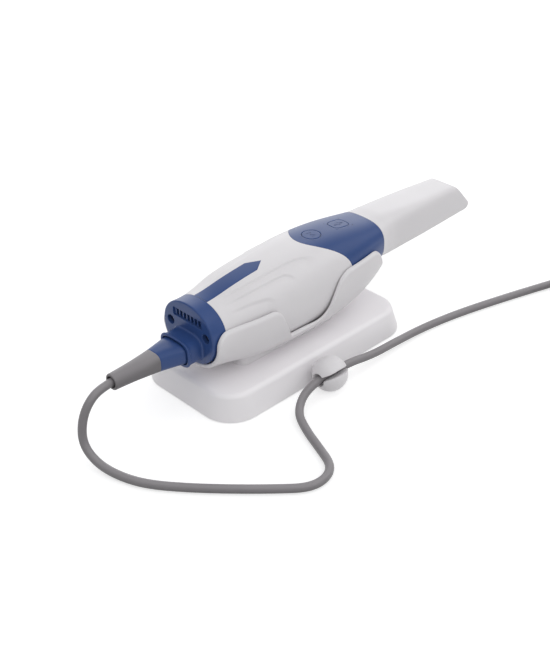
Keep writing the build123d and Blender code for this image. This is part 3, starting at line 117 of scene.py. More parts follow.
def plastic(low, high, rough, grain=2600.0, strength=0.05, spec=0.5):
    """A moulded surface whose colour and gloss drift a little, with a very fine grain."""

    def build(nodes, links, shader):
        mottle = noise(nodes, links, 28.0, 4.0)
        tint(nodes, links, shader, mottle, low, high)
        bump(nodes, links, shader, noise(nodes, links, grain, 2.0), strength, 0.00004)
        shine = map_range(nodes, links, mottle, (0.0, 1.0), (rough - 0.03, rough + 0.03))
        links.new(shine.outputs["Result"], shader.inputs["Roughness"])
        shader.inputs["Specular IOR Level"].default_value = spec

    return build


def jacket_with_painted_shade(low, high, rough, grain, strength):
    """A matt rubber with painted shade and light: its colour is darker where the surface faces down and a
    little lighter where it faces up.
    """

    def build(nodes, links, shader):
        plastic(low, high, rough, grain, strength)(nodes, links, shader)
        colour = shader.inputs["Base Color"].links[0].from_socket
        way = nodes.new("ShaderNodeNewGeometry")
        split = nodes.new("ShaderNodeSeparateXYZ")
        links.new(way.outputs["Normal"], split.inputs["Vector"])
        # painted shade: the colour is scaled from 0.45 facing down to 1.12 facing up
        shade = map_range(nodes, links, split.outputs["Z"], (-0.5, 0.9), (0.45, 1.12))
        painted_shade = nodes.new("ShaderNodeVectorMath")
        painted_shade.operation = "SCALE"
        links.new(colour, painted_shade.inputs[0])
        links.new(shade.outputs["Result"], painted_shade.inputs["Scale"])
        links.new(painted_shade.outputs["Vector"], shader.inputs["Base Color"])

    return build


def metal(low, high, rough, scale=900.0):
    def build(nodes, links, shader):
        grain = noise(nodes, links, scale, 4.0)
        tint(nodes, links, shader, grain, low, high)
        bump(nodes, links, shader, grain, 0.1, 0.00003)
        shader.inputs["Metallic"].default_value = 1.0
        shader.inputs["Roughness"].default_value = rough

    return build


def board_build(nodes, links, shader):
    place = nodes.new("ShaderNodeTexCoord")
    tracks = nodes.new("ShaderNodeTexBrick")
    tracks.inputs["Scale"].default_value = 260.0
    tracks.inputs["Mortar Size"].default_value = 0.03
    tracks.inputs["Color1"].default_value = (0.012, 0.11, 0.045, 1)
    tracks.inputs["Color2"].default_value = (0.014, 0.13, 0.055, 1)
    tracks.inputs["Mortar"].default_value = (0.03, 0.2, 0.09, 1)
    links.new(place.outputs["Object"], tracks.inputs["Vector"])
    links.new(tracks.outputs["Color"], shader.inputs["Base Color"])
    shader.inputs["Roughness"].default_value = 0.4


def glass_build(nodes, links, shader):
    tint(nodes, links, shader, noise(nodes, links, 120.0, 5.0), grey(0.9), grey(0.96))
    shader.inputs["Roughness"].default_value = 0.03
    shader.inputs["Transmission Weight"].default_value = 0.9
    shader.inputs["IOR"].default_value = 1.5


COOL, WARM = (1.0, 0.975, 0.993), (1.0, 0.945, 0.985)


def grey(value, cast=COOL):
    return (value * cast[0], value * cast[1], value * cast[2], 1)


def warm(value):
    return grey(value, WARM)


BLUE_PAIR = (0.028, 0.067, 0.21, 1), (0.032, 0.073, 0.225, 1)
# The darker blue serves the buttons' engraved marks and, as painted shade, the walls of the screw wells
MARK_AND_WELL_SHADE_PAIR = (0.015, 0.035, 0.12, 1), (0.017, 0.038, 0.13, 1)
WHITE = material("white_moulded", plastic(grey(0.745), grey(0.765), 0.36))
# The base's white is a brighter copy of the moulded white: painted light, standing in for light that the
# lamps don't bring to the base
BASE_WHITE_PAINTED_LIGHT = material("white_base_painted_light", plastic(grey(0.91), grey(0.93), 0.38))
BLUE = material("blue_moulded", plastic(*BLUE_PAIR, 0.29, strength=0.015, spec=0.33))
BLUE_MARK_AND_WELL_SHADE = material("blue_engraved_and_well_shade", plastic(*MARK_AND_WELL_SHADE_PAIR, 0.4))
CABLE = material("cable_jacket", jacket_with_painted_shade(warm(0.235), warm(0.26), 0.38, 1500.0, 0.12))
RELIEF = material("relief_rubber", jacket_with_painted_shade(warm(0.215), warm(0.235), 0.46, 1800.0, 0.15))
DARK = material("dark_plastic", plastic(grey(0.018), grey(0.024), 0.45, strength=0.15))
RUBBER = material("pad_rubber", plastic(grey(0.02), grey(0.03), 0.7, grain=900.0, strength=0.4))
STEEL = material("steel", metal(grey(0.50), grey(0.58), 0.3))
CHROME = material("plug_steel_finish", metal(grey(0.68), grey(0.74), 0.16))
ALUMINIUM = material("aluminium_finish", metal(grey(0.66), grey(0.74), 0.34, 1400.0))
BLACK_METAL = material("black_anodised", metal(grey(0.03), grey(0.045), 0.4, 1400.0))
MIRROR = material("front_mirror", metal(grey(0.88), grey(0.92), 0.03, 300.0))
BOARD = material("circuit_board_finish", board_build)
GLASS = material("optical_glass", glass_build)

# The solids that the scene keeps, by their slots in the CAD
cad_finish = {
    "white_plastic": WHITE,
    "blue_plastic": BLUE,
    "grey_cable": CABLE,
    "grey_rubber": RELIEF,
    "black_rubber": RUBBER,
    "black_plastic": DARK,
    "black_metal": BLACK_METAL,
    "aluminium": ALUMINIUM,
    "circuit_board": BOARD,
    "clear_glass": GLASS,
    "mirror": MIRROR,
    "screw_steel": STEEL,
    "ballast_steel": STEEL,
    "plug_steel": CHROME,
}
slot_of = {s["node"]: s["material_slot"] for s in frame["record"]["subparts"]}
for node_name, node in frame["nodes"].items():
    for holder in node.material_slots:
        holder.link = "OBJECT"
        holder.material = cad_finish[slot_of[node_name]]


# Surfaces: a spline through stations, each a row of x, half width, top, bottom and power
def natural_spline(stations):
    data = np.array(stations, float)
    xs, ys = data[:, 0], data[:, 1:]
    n, h = len(xs), np.diff(data[:, 0])
    a, r = np.eye(n), np.zeros_like(ys)
    for i in range(1, n - 1):
        a[i, i - 1 : i + 2] = h[i - 1], 2 * (h[i - 1] + h[i]), h[i]
        r[i] = 6 * ((ys[i + 1] - ys[i]) / h[i] - (ys[i] - ys[i - 1]) / h[i - 1])
    m = np.linalg.solve(a, r)

    def at(x):
        x = np.asarray(x, float)
        i = np.clip(np.searchsorted(xs, x) - 1, 0, n - 2)
        u = ((xs[i + 1] - x) / h[i])[..., None]
        v = 1 - u
        bend = (u**3 - u) * m[i] + (v**3 - v) * m[i + 1]
        return u * ys[i] + v * ys[i + 1] + bend * h[i][..., None] ** 2 / 6

    return at


def section(x, theta, half, top, bottom, power):
    """Points of a superellipse across X. Theta 0 is +Y and 90 degrees is up."""
    middle, rise = (top + bottom) / 2, (top - bottom) / 2
    c, s = np.cos(theta), np.sin(theta)
    r = (np.abs(c / half) ** power + np.abs(s / rise) ** power) ** (-1 / power)
    return np.stack([x, r * c, middle + r * s], -1)


def surface(track, x, theta, grow=0.0):
    """Points of a hull; grow moves its surface out."""
    x, theta, grow = np.broadcast_arrays(*(np.asarray(v, float) for v in (x, theta, grow)))
    half, top, bottom, power = np.moveaxis(track(x), -1, 0)
    return section(x, theta, half + grow, top + grow, bottom - grow, power)


def top_z(track, x, y, grow=0.0):
    half, top, bottom, power = np.moveaxis(track(x), -1, 0)
    half, top, bottom = half + grow, top + grow, bottom - grow
    return (top + bottom) / 2 + (top - bottom) / 2 * (1 - np.abs(y / half) ** power) ** (1 / power)


def smooth(t):
    t = np.clip(t, 0, 1)
    return t * t * (3 - 2 * t)


# Meshes
def finish(obj, body, mat, replaces=(), sharp=35):
    """Smooth shading up to a sharp angle, the material, and what the frame needs to know."""
    obj.data.materials.clear()
    obj.data.materials.append(mat)
    obj.data.polygons.foreach_set("use_smooth", np.ones(len(obj.data.polygons), bool))
    obj.data.set_sharp_from_angle(angle=math.radians(sharp))
    obj.data.update()
    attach(obj, body)
    if replaces:
        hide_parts(*replaces)


def change_mesh(obj, change):
    b = bmesh.new()
    b.from_mesh(obj.data)
    change(b)
    b.to_mesh(obj.data)
    b.free()


def face_outward(b):
    bmesh.ops.recalc_face_normals(b, faces=b.faces)


def skin(name, rows, closed=True, cap_start=False, cap_end=False, loop_rows=False):
    """A mesh through rows of points; the caps are fans to each end row's middle."""
    rows = np.asarray(rows, float)
    n, m = rows.shape[:2]
    verts = list(rows.reshape(-1, 3))
    faces = []
    for i in range(n if loop_rows else n - 1):
        k = (i + 1) % n
        for j in range(m if closed else m - 1):
            l = (j + 1) % m
            faces.append((i * m + j, i * m + l, k * m + l, k * m + j))
    if cap_start:
        verts.append(rows[0].mean(0))
        c = len(verts) - 1
        faces += [(c, (j + 1) % m, j) for j in range(m)]
    if cap_end:
        verts.append(rows[-1].mean(0))
        c = len(verts) - 1
        faces += [(c, (n - 1) * m + j, (n - 1) * m + (j + 1) % m) for j in range(m)]
    mesh = bpy.data.meshes.new(name)
    mesh.from_pydata([tuple(v) for v in np.asarray(verts, float) * MM], [], faces)
    mesh.update()
    obj = bpy.data.objects.new(name, mesh)
    bpy.context.collection.objects.link(obj)
    change_mesh(obj, face_outward)
    return obj


def solid(name, rows):
    return skin(name, rows, cap_start=True, cap_end=True)


def cut(obj, cutters):
    """Takes each cutter away from the object, and deletes it."""
    for c in cutters:
        mod = obj.modifiers.new("cut", "BOOLEAN")
        mod.operation = "DIFFERENCE"
        mod.solver = "EXACT"
        mod.object = c
        graph = bpy.context.evaluated_depsgraph_get()
        mesh = bpy.data.meshes.new_from_object(obj.evaluated_get(graph))
        obj.modifiers.clear()
        old = obj.data
        obj.data = mesh
        bpy.data.meshes.remove(old)
    for c in cutters:
        bpy.data.objects.remove(c)


def angles(count):
    return np.linspace(0, FULL_TURN, count, endpoint=False)


def at_x(x, yz):
    return np.column_stack([np.full(len(yz), x), yz])


def at_z(xy, z):
    return np.column_stack([xy, np.full(len(xy), z)])


def circle(u, v, r, count):
    t = angles(count)
    return np.stack([u + r * np.cos(t), v + r * np.sin(t)], -1)


def rounded_rect(hx, hy, rc, arc=10, side=4):
    """Points of a rounded rectangle, the same count whatever its size."""
    rc = max(rc, 0.02)
    corners = []
    for k, (sx, sy) in enumerate(((1, 1), (-1, 1), (-1, -1), (1, -1))):
        t = k * QUARTER + np.linspace(0, QUARTER, arc)
        corners.append(np.stack([sx * (hx - rc) + rc * np.cos(t), sy * (hy - rc) + rc * np.sin(t)], -1))
    points = []
    for corner, following in zip(corners, corners[1:] + corners[:1]):
        t = np.linspace(0, 1, side + 2)[1:-1, None]
        points += [corner, corner[-1] * (1 - t) + following[0] * t]
    return np.concatenate(points)


def arc_steps(r, count=6):
    """(along, down) pairs of a quarter round from a face to its edge."""
    return [(-r + r * math.sin(p), -r + r * math.cos(p)) for p in np.linspace(0, QUARTER, count)]


# The hull that the handle, the collar, the cap and the cradle share
HULL_REAR, HANDLE_REAR, HULL_FRONT = -67.0, -57.0, 72.0
AXIS_Z = 43.0
HULL = natural_spline(
    (
        (HULL_REAR, 20.8, 61.4, 25.3, 2.1),
        (HANDLE_REAR, 20.8, 60.9, 24.16, 2.25),
        (-40.23, 23.6, 62.9, 21.9, 2.6),
        (-14.4, 25.6, 65.6, 20.0, 2.8),
        (10.1, 26.0, 66.9, 19.6, 2.8),
        (29.4, 25.5, 66.8, 21.0, 2.8),
        (50.1, 23.4, 65.3, 25.5, 2.8),
        (65.0, 20.4, 63.4, 31.9, 2.8),
        (HULL_FRONT, 18.7, 62.4, 36.5, 2.8),
    )
)
COLUMNS = 360
THETA = angles(COLUMNS)
LIP = 0.18  # round of an edge where two mouldings meet
WALL = 1.6
SEAM = 0.05

# The collar's rear edge, a parabola in plan
edge_x = np.full(COLUMNS, 30.0)
for _ in range(60):
    edge_x = 0.5 * edge_x + 0.5 * (16.5 + 0.035 * surface(HULL, edge_x, THETA)[:, 1] ** 2)

# Soft flutes in the handle: the line of each step in X and |Y|, its depth, and how far it fades out
FLUTES = (
    (
        ((-57.5, 7.4), (-40.0, 8.8), (-32.4, 10.0), (-24.0, 10.7), (-14.5, 11.2), (-4.8, 11.6))
        + ((1.9, 12.0), (5.6, 13.2), (9.6, 14.9), (15.3, 17.2)),
        1.3,
        5.5,
    ),
    (
        ((-57.5, 11.2), (-47.9, 13.1), (-40.2, 14.4), (-32.1, 15.4), (-23.2, 16.2), (-15.0, 16.6))
        + ((-10.1, 17.2), (-7.6, 18.6), (-5.7, 20.6), (-3.2, 23.4)),
        1.3,
        5.0,
    ),
    (
        ((-57.5, 15.2), (-51.4, 16.8), (-44.2, 18.5), (-38.1, 19.8), (-31.9, 21.2), (-26.8, 22.2))
        + ((-24.1, 23.2), (-21.5, 24.8)),
        1.1,
        4.5,
    ),
)
STEP_WIDTH = 1.5
FAR_SHARE = 0.4  # of the depth, on the far side, whose outline is fuller in the photograph


def distance_to_line(p, line):
    """Distance and place along a polyline, the distance being positive away from Y = 0."""
    best = np.full(p.shape[:-1], 1e9)
    place = np.zeros_like(best)
    side = np.zeros_like(best)
    total = 0.0
    for a, b in zip(line, line[1:]):
        a, b = np.array(a, float), np.array(b, float)
        d = b - a
        length = np.hypot(*d)
        t = np.clip(((p - a) @ d) / length**2, 0, 1)
        q = p - (a + t[..., None] * d)
        dist = np.hypot(q[..., 0], q[..., 1])
        near = dist < best
        best = np.where(near, dist, best)
        place = np.where(near, total + t * length, place)
        side = np.where(near, np.sign(d[0] * q[..., 1] - d[1] * q[..., 0]), side)
        total += length
    return best * side, place, total


def fluted(rows):
    """Presses the flutes into the upper sides of the handle."""
    rows = np.array(rows)
    xy = np.stack([rows[..., 0], np.abs(rows[..., 1])], -1)
    outward = rows.copy()
    outward[..., 0] = 0
    outward[..., 2] -= AXIS_Z
    outward /= np.linalg.norm(outward, axis=-1, keepdims=True)
    depth = np.zeros(rows.shape[:-1])
    for line, amount, reach in FLUTES:
        d, place, total = distance_to_line(xy, line)
        step = smooth(d / STEP_WIDTH + 0.5) * np.exp(-np.clip(d, 0, None) / reach)
        ends = smooth((total - place) / 8.0) * smooth((place - 3.0) / 14.0)
        depth += amount * step * ends
    depth *= smooth((rows[..., 2] - AXIS_Z) / 6.0)
    depth *= np.where(rows[..., 1] > 0, FAR_SHARE, 1.0)
    return rows - outward * depth[..., None]


def sleeve(start, stop, span, count):
    """Rows of a sleeve of the hull, its ends rounded and turned in to the wall's inner face."""
    rows = [surface(HULL, start, THETA, -WALL)]
    rows += [surface(HULL, start - a, THETA, b) for a, b in arc_steps(LIP)[::-1]]
    rows += [surface(HULL, start + LIP + span * t, THETA) for t in np.linspace(0, 1, count)]
    rows += [surface(HULL, stop + a, THETA, b) for a, b in arc_steps(LIP)]
    return rows + [surface(HULL, stop, THETA, -WALL)]


# Handle and front collar
rows = fluted(sleeve(HANDLE_REAR, edge_x, edge_x - HANDLE_REAR - 2 * LIP, 190))
finish(skin("handle_shell_form", rows), ROOT, WHITE, ["handle_shell"])
rows = sleeve(edge_x + SEAM, HULL_FRONT, HULL_FRONT - edge_x - 2 * LIP, 130)
collar = skin("front_collar_form", rows)
ROUND_X, ROUND_R = 28.4, 5.7
SCAN_X, SCAN_HALF = 51.0, (6.0, 4.9)


def open_button_holes(b):
    """Deletes the collar's faces where each button's rim takes their place."""
    gone = []
    for face in b.faces:
        c = face.calc_center_median() / MM
        near_round = math.hypot(c.x - ROUND_X, c.y) < ROUND_R + 0.9
        near_scan = abs(c.x - SCAN_X) < SCAN_HALF[0] + 0.8 and abs(c.y) < SCAN_HALF[1] + 0.8
        if c.z >= 55 and (near_round or near_scan):
            gone.append(face)
    bmesh.ops.delete(b, geom=gone, context="FACES")


change_mesh(collar, open_button_holes)
finish(collar, ROOT, BLUE, ["front_collar"])


# Buttons: a rim of the collar round each hole, and the button in it
def round_outline(d):
    return circle(ROUND_X, 0.0, ROUND_R + d, 96)


def scan_outline(d):
    return rounded_rect(SCAN_HALF[0] + d, SCAN_HALF[1] + d, 3.4 + d, 14, 8) + np.array((SCAN_X, 0.0))


def on_top(xy, grow):
    return np.column_stack([xy, top_z(HULL, xy[:, 0], xy[:, 1], grow)])


# Pairs of the distance out from the hole's edge and the height over the hull
RIM_STEPS = (
    ((2.1, -0.06), (1.9, 0.0), (1.2, 0.0), (0.6, 0.0), (0.34, -0.01))
    + ((0.2, -0.06), (0.12, -0.14), (0.08, -0.28), (0.08, -1.6))
)
BUTTON_STEPS = (
    ((-0.14, -1.6), (-0.14, -0.3), (-0.18, -0.12), (-0.28, -0.03), (-0.5, 0.0))
    + ((-1.0, 0.0), (-1.8, -0.01), (-2.6, -0.02), (-3.3, -0.03))
)
for label, outline in (("round", round_outline), ("scan", scan_outline)):
    rim = skin(f"{label}_button_rim", [on_top(outline(d), g) for d, g in RIM_STEPS])
    finish(rim, ROOT, BLUE)
    button = skin(f"{label}_button_cap", [on_top(outline(d), g) for d, g in BUTTON_STEPS], cap_end=True)
    finish(button, f"{label}_button", BLUE, [f"{label}_button"])


def stroke(name, points, body, cyclic=False):
    """A fine engraved line on a button's face."""
    curve = bpy.data.curves.new(name, "CURVE")
    curve.dimensions = "3D"
    curve.bevel_depth = 0.16 * MM
    curve.bevel_resolution = 2
    path = curve.splines.new("POLY")
    path.points.add(len(points) - 1)
    for point, place in zip(path.points, on_top(np.array(points, float), -0.08) * MM):
        point.co = (*place, 1)
    path.use_cyclic_u = cyclic
    obj = bpy.data.objects.new(name, curve)
    bpy.context.collection.objects.link(obj)
    curve.materials.append(BLUE_MARK_AND_WELL_SHADE)
    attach(obj, body)


stroke("round_mark_left", [(26.6, 2.6), (30.0, 1.9), (27.6, 0.0)], "round_button")
stroke("round_mark_right", [(27.6, 0.0), (30.0, -1.9), (26.6, -2.6)], "round_button")
stroke("scan_mark_ring", circle(SCAN_X, 0.0, 1.5, 28), "scan_button", cyclic=True)
for side, name in ((-1, "scan_mark_rear"), (1, "scan_mark_front")):
    triangle = [(SCAN_X + side * 2.6, 0.9), (SCAN_X + side * 3.6, 0.0), (SCAN_X + side * 2.6, -0.9)]
    stroke(name, triangle, "scan_button", cyclic=True)

# Label strip let into the top of the handle, with a pointed front end
STRIP_HALF, STRIP_REAR, POINT_START, POINT_END = 5.2, -57.12, -19.5, -11.7
strip_x = np.concatenate(
    [np.linspace(STRIP_REAR, POINT_START, 60), np.linspace(POINT_START, POINT_END, 24)[1:]]
)
strip_half = STRIP_HALF * np.minimum((POINT_END - strip_x) / (POINT_END - POINT_START), 1.0)
STRIP_LIFT = np.concatenate([[-0.4, 0.05, 0.09], np.full(17, 0.1), [0.09, 0.05, -0.4]])
rows = []
for x, w in zip(strip_x, strip_half):
    w = max(w, 0.02)
    flat = w - 0.1 * min(1, w)
    ys = np.concatenate([[w, w, w - 0.03], np.linspace(flat, -flat, 17), [-w + 0.03, -w, -w]])
    row = fluted(on_top(np.column_stack([np.full(len(ys), x), ys]), 0.0)[None])[0]
    row[:, 2] += STRIP_LIFT
    rows.append(row)
strip = skin("label_strip_form", rows, closed=False)
finish(strip, ROOT, BLUE, ["label_strip"])

# Rear cap: a cup with a vent grille and two screw wells
CAP_FRONT, CAP_FLOOR, CAP_WALL, CAP_EDGE = -57.05, -64.6, 2.2, 0.9
outer = [surface(HULL, CAP_FRONT, THETA, -LIP)]
outer += [surface(HULL, CAP_FRONT + a, THETA, b) for a, b in arc_steps(LIP)[::-1]]
outer += [surface(HULL, x, THETA) for x in np.linspace(-57.6, HULL_REAR + CAP_EDGE, 20)]
outer += [surface(HULL, HULL_REAR - a, THETA, b) for a, b in arc_steps(CAP_EDGE, 8)[1:]]
rim = outer[-1]
outer += [rim + (np.array((HULL_REAR, 0, AXIS_Z)) - rim) * t for t in (0.15, 0.4, 0.7, 0.95)]
inner = [surface(HULL, x, THETA, -CAP_WALL) for x in (CAP_FRONT, CAP_FLOOR)]
rim = inner[-1]
inner += [rim + (np.array((CAP_FLOOR, 0, AXIS_Z)) - rim) * t for t in (0.5, 0.95)]
rear_cap = solid("rear_cap_form", inner[::-1] + outer)


def pocket(outline, x, depth, flare=0.18):
    """A cutter along X into a face at x, with a small chamfer at the face."""
    places = ((x - 0.2, flare + 0.2), (x + flare, 0), (x + depth, 0))
    return solid("cutter", [at_x(place, outline(grow)) for place, grow in places])


def slot_outline(y, z, hy, hz, rc):
    return lambda d: rounded_rect(hy + d, hz + d, rc + d, 6, 2) + np.array((y, z))


def well_outline(y):
    return lambda d: circle(y, WELL_Z, WELL_R + d, 48)


VENT_Z, VENT_HALF = 52.65, 2.45
WELL_Y, WELL_Z, WELL_R = 14.5, 45.6, 2.8
cutters = [pocket(slot_outline(0, VENT_Z, 11.8, VENT_HALF, 0.5), HULL_REAR, 0.9)]
for k in range(-3, 4):
    outline = slot_outline(3.0 * k, VENT_Z, 0.95, VENT_HALF + 0.01, 0.3)
    cutters.append(pocket(outline, HULL_REAR + 0.9, 4.0, 0.1))
cutters += [pocket(well_outline(side * WELL_Y), HULL_REAR, 3.0) for side in (-1, 1)]
cut(rear_cap, cutters)
finish(rear_cap, ROOT, BLUE, ["rear_cap"], 30)
WELL_STEPS = ((-64.7, 3.6), (-64.7, WELL_R), (-62.5, WELL_R), (-62.5, 1.3), (-61.0, 1.3), (-61.0, 3.6))
# The wells' walls take the marks' darker blue: painted shade in the recesses
for side, name in ((-1, "screw_well_near"), (1, "screw_well_far")):
    rows = [at_x(x, circle(side * WELL_Y, WELL_Z, r, 48)) for x, r in WELL_STEPS]
    finish(skin(name, rows, loop_rows=True), ROOT, BLUE_MARK_AND_WELL_SHADE)

# Cable boss: pairs of X and the distance out from its side
BOSS_HALF, BOSS_TOP, BOSS_BOTTOM, BOSS_POWER = 11.5, 44.1, 28.9, 3.6
BOSS_STEPS = (
    ((-66.7, 0.9), (-67.02, 0.8), (-67.1, 0.62), (-67.3, 0.35), (-67.6, 0.14), (-68.0, 0.04))
    + ((-68.5, 0.0), (-69.6, 0.0), (-71.5, 0.0), (-73.5, 0.0), (-75.3, 0.0), (-75.75, 0.05))
    + ((-75.95, 0.28), (-76.15, 0.45), (-76.5, 0.52), (-76.9, 0.5), (-77.15, 0.35), (-77.3, 0.1))
    + ((-77.3, -0.6), (-77.2, -0.9), (-76.8, -1.1), (-75.0, -1.2))
)
PT = angles(128)
rows = [
    section(np.full(len(PT), x), PT, BOSS_HALF + g, BOSS_TOP + g, BOSS_BOTTOM - g, BOSS_POWER)
    for x, g in BOSS_STEPS
]
finish(skin("cable_boss", rows), ROOT, BLUE)

# Cable plug and strain relief: a rounded box that tapers to a round end
RELIEF_END, MOUTH_Z = -120.2, 37.2
PLUG = natural_spline(
    (
        (RELIEF_END, 4.7, 41.9, 32.5, 2.0),
        (-110.0, 5.2, 42.1, 32.1, 2.1),
        (-100.0, 5.8, 42.35, 31.6, 2.5),
        (-91.7, 6.4, 42.6, 31.2, 3.2),
        (-84.0, 8.1, 42.75, 30.7, 3.4),
        (-77.5, 9.8, 42.5, 30.5, 3.6),
    )
)
rows = [surface(PLUG, x, PT, g) for x, g in ((-75.5, -0.3), (-77.0, -0.1))]
rows += [surface(PLUG, x, PT) for x in np.linspace(-77.4, -91.5, 24)]
rows += [surface(PLUG, x, PT, g) for x, g in ((-91.6, -0.02), (-91.68, -0.08), (-91.7, -0.4))]
finish(solid("plug_housing_form", rows), ROOT, BLUE, ["plug_housing"])
rows = [surface(PLUG, x, PT, g) for x, g in ((-91.72, -0.4), (-91.74, -0.06), (-91.85, 0.0))]
rows += [surface(PLUG, x, PT) for x in np.linspace(-92.2, -119.2, 40)]
rows += [surface(PLUG, RELIEF_END - a, PT, b) for a, b in arc_steps(0.7, 6)]
MOUTH_STEPS = ((RELIEF_END, 3.75), (-120.05, 3.5), (-119.7, 3.35), (-118.4, 3.3), (-118.4, 2.3))
rows += [at_x(x, circle(0.0, MOUTH_Z, r, 128)) for x, r in MOUTH_STEPS]
finish(solid("strain_relief_form", rows), ROOT, RELIEF, ["strain_relief"])

# Tip sleeve with a raked end and the scanning window's hole
TIP_START, TIP_BOTTOM = 72.12, 37.8


def tip_station(x, flare=0.0, bottom=TIP_BOTTOM, power=2.8):
    share = (x - HULL_FRONT) / 96.0
    return (x, 14.6 - 5.0 * share + flare, 62.4 - 6.3 * share, bottom, power)


TIP = natural_spline(
    (
        (HULL_FRONT, 18.7, 62.4, 36.5, 2.8),
        tip_station(80, 1.6, 37.5, 3.1),
        tip_station(90, 0.3, power=3.9),
        tip_station(105, power=5.0),
        tip_station(120, power=5.8),
        tip_station(150, power=6.4),
        tip_station(168, power=6.5),
    )
)
LOW_POWER = ((72.0, 80.0, 90.0, 105.0, 120.0), (2.8, 4.2, 6.5, 8.0, 9.0))  # of the lower corners
FULL = 0.8  # what the photograph's tip is fuller all round than the solid
RAKE_X, RAKE_Z = 152.2, 56.0  # a point of the raked end's plane, in the XZ plane
NORMAL_X, NORMAL_Z = 15.6 / 21.23, 14.4 / 21.23
NOSE_R = 3.2
nose_z = TIP_BOTTOM + NOSE_R
nose_x = RAKE_X - (NOSE_R + NORMAL_Z * (nose_z - RAKE_Z)) / NORMAL_X


def tip_surface(x, grow=0.0):
    """The tip's section at each column, with tighter corners below than above."""
    x = np.broadcast_to(np.asarray(x, float), THETA.shape)
    half, top, bottom, power = np.moveaxis(TIP(x), -1, 0)
    power = np.where(np.sin(THETA) < 0, np.interp(x, *LOW_POWER), power)
    grow = grow + FULL * smooth((x - HULL_FRONT) / 11.0) * (grow >= 0)
    return section(x, THETA, half + grow, top + grow, bottom - grow, power)


def end_x(z, inward=0.0):
    """Where the raked end lies at a height; its lower corner is rounded."""
    plane = RAKE_X - inward / NORMAL_X - (z - RAKE_Z) * NORMAL_Z / NORMAL_X
    arc = nose_x + np.sqrt(np.clip(NOSE_R**2 - (z - nose_z) ** 2, 0, None)) - inward
    return np.where(z > nose_z + NOSE_R * NORMAL_Z, plane, arc)


def rake_edge(grow, inward):
    x = np.full(COLUMNS, 158.0)
    for _ in range(60):
        x = end_x(tip_surface(x, grow)[:, 2], inward)
    return x


TIP_ROUND = 1.5  # of the edge between the sides and the raked end
rake_x = rake_edge(0.0, 0.0)
inner_x = rake_edge(-WALL, 2.9)
rows = [tip_surface(TIP_START + (inner_x - TIP_START) * t, -WALL) for t in np.linspace(1, 0, 40)]
inner_face = rows[0]
inner_centre = inner_face.mean(0)
rows = [inner_face + (inner_centre - inner_face) * t for t in (0.95, 0.5)] + rows
rows += [tip_surface(TIP_START - a, b) for a, b in arc_steps(LIP)[::-1]]
side_length = rake_x - TIP_ROUND - TIP_START - LIP
rows += [tip_surface(TIP_START + LIP + side_length * t) for t in np.linspace(0, 1, 130)]
corner = tip_surface(rake_x)
centre = np.array((0.0, 47.2))
edge_share = TIP_ROUND / np.linalg.norm(corner[:, 1:] - centre, axis=-1)[:, None]


def end_ring(share):
    """A ring of the raked end, drawn in from its edge."""
    yz = corner[:, 1:] + (centre - corner[:, 1:]) * share
    return np.column_stack([end_x(yz[:, 1]), yz])


start, end = rows[-1], end_ring(edge_share)
for t in np.linspace(0.12, 1, 9):
    rows.append((1 - t) ** 2 * start + 2 * t * (1 - t) * corner + t * t * end)
rows += [end_ring(edge_share + (0.95 - edge_share) * t) for t in (0.03, 0.08, 0.15, 0.25, 0.4, 0.6, 0.8, 1)]
tip = solid("tip_sleeve_form", rows)
window = rounded_rect(6.5, 6.0, 1.5, 8, 3) + np.array((152.0, 0.0))
cut(tip, [solid("cutter", [at_z(window, z) for z in (36.0, 39.9)])])
finish(tip, "tip", WHITE, ["tip_sleeve"], 50)

# Cradle: a trough along the hull, with a rounded rim that is low at the finger notches
CRADLE_REAR, CRADLE_FRONT = -65.5, 69.5
SIDE_START, SIDE_END = (CRADLE_REAR, 0), (CRADLE_FRONT, 0)
SIDE_CORNERS = (  # X, Z and radius of each corner of the side view
    (CRADLE_REAR, 49.2, 9),
    (-23.4, 50.0, 7),
    (-14.0, 28.6, 4.5),
    (11.0, 28.6, 13),
    (26.9, 52.5, 15),
    (62.0, 52.5, 9),
    (CRADLE_FRONT, 37.6, 5),
)
GAP, THICK, NIP, CRADLE_END = 0.6, 2.4, 2.0, 1.0
NOTCH_GAP = 1.0  # the trough stands further off the handle at the front of each finger notch


def rounded_path(start, corners, end, count=14):
    """The side view's outline as a dense polyline, its corners rounded."""
    stops = [np.array(p, float) for p in (start, *(c[:2] for c in corners), end)]
    out = [stops[0]]
    for a, p, b, (*_, r) in zip(stops, stops[1:], stops[2:], corners):
        u, v = (a - p) / np.linalg.norm(a - p), (b - p) / np.linalg.norm(b - p)
        half_angle = math.acos(np.clip(u @ v, -1, 1)) / 2
        reach = r / math.tan(half_angle)
        middle = p + (u + v) / np.linalg.norm(u + v) * r / math.sin(half_angle)
        s, e = p + u * reach - middle, p + v * reach - middle
        turn = math.acos(np.clip(s @ e / r**2, -1, 1))
        for t in np.linspace(0, 1, count):
            out.append(middle + (math.sin((1 - t) * turn) * s + math.sin(t * turn) * e) / math.sin(turn))
    return np.array(out + [stops[-1]])


rim_path = rounded_path(SIDE_START, SIDE_CORNERS, SIDE_END)
rim_path = rim_path[rim_path[:, 1] > 1]
rim_path = rim_path[np.argsort(rim_path[:, 0], kind="stable")]


def rim_height(x):
    return np.interp(x, rim_path[:, 0], rim_path[:, 1])


def rim_angle(x, height, grow):
    """Theta on the +Y side where the grown hull reaches a height."""
    low, high = np.full_like(x, -QUARTER), np.full_like(x, QUARTER)
    for _ in range(44):
        mid = (low + high) / 2
        above = surface(HULL, x, mid, grow)[:, 2] > height
        high = np.where(above, mid, high)
        low = np.where(above, low, mid)
    return (low + high) / 2


def sweep(start, stop):
    share = np.linspace(0, 1, 90)
    return start[:, None] * (1 - share) + stop[:, None] * share


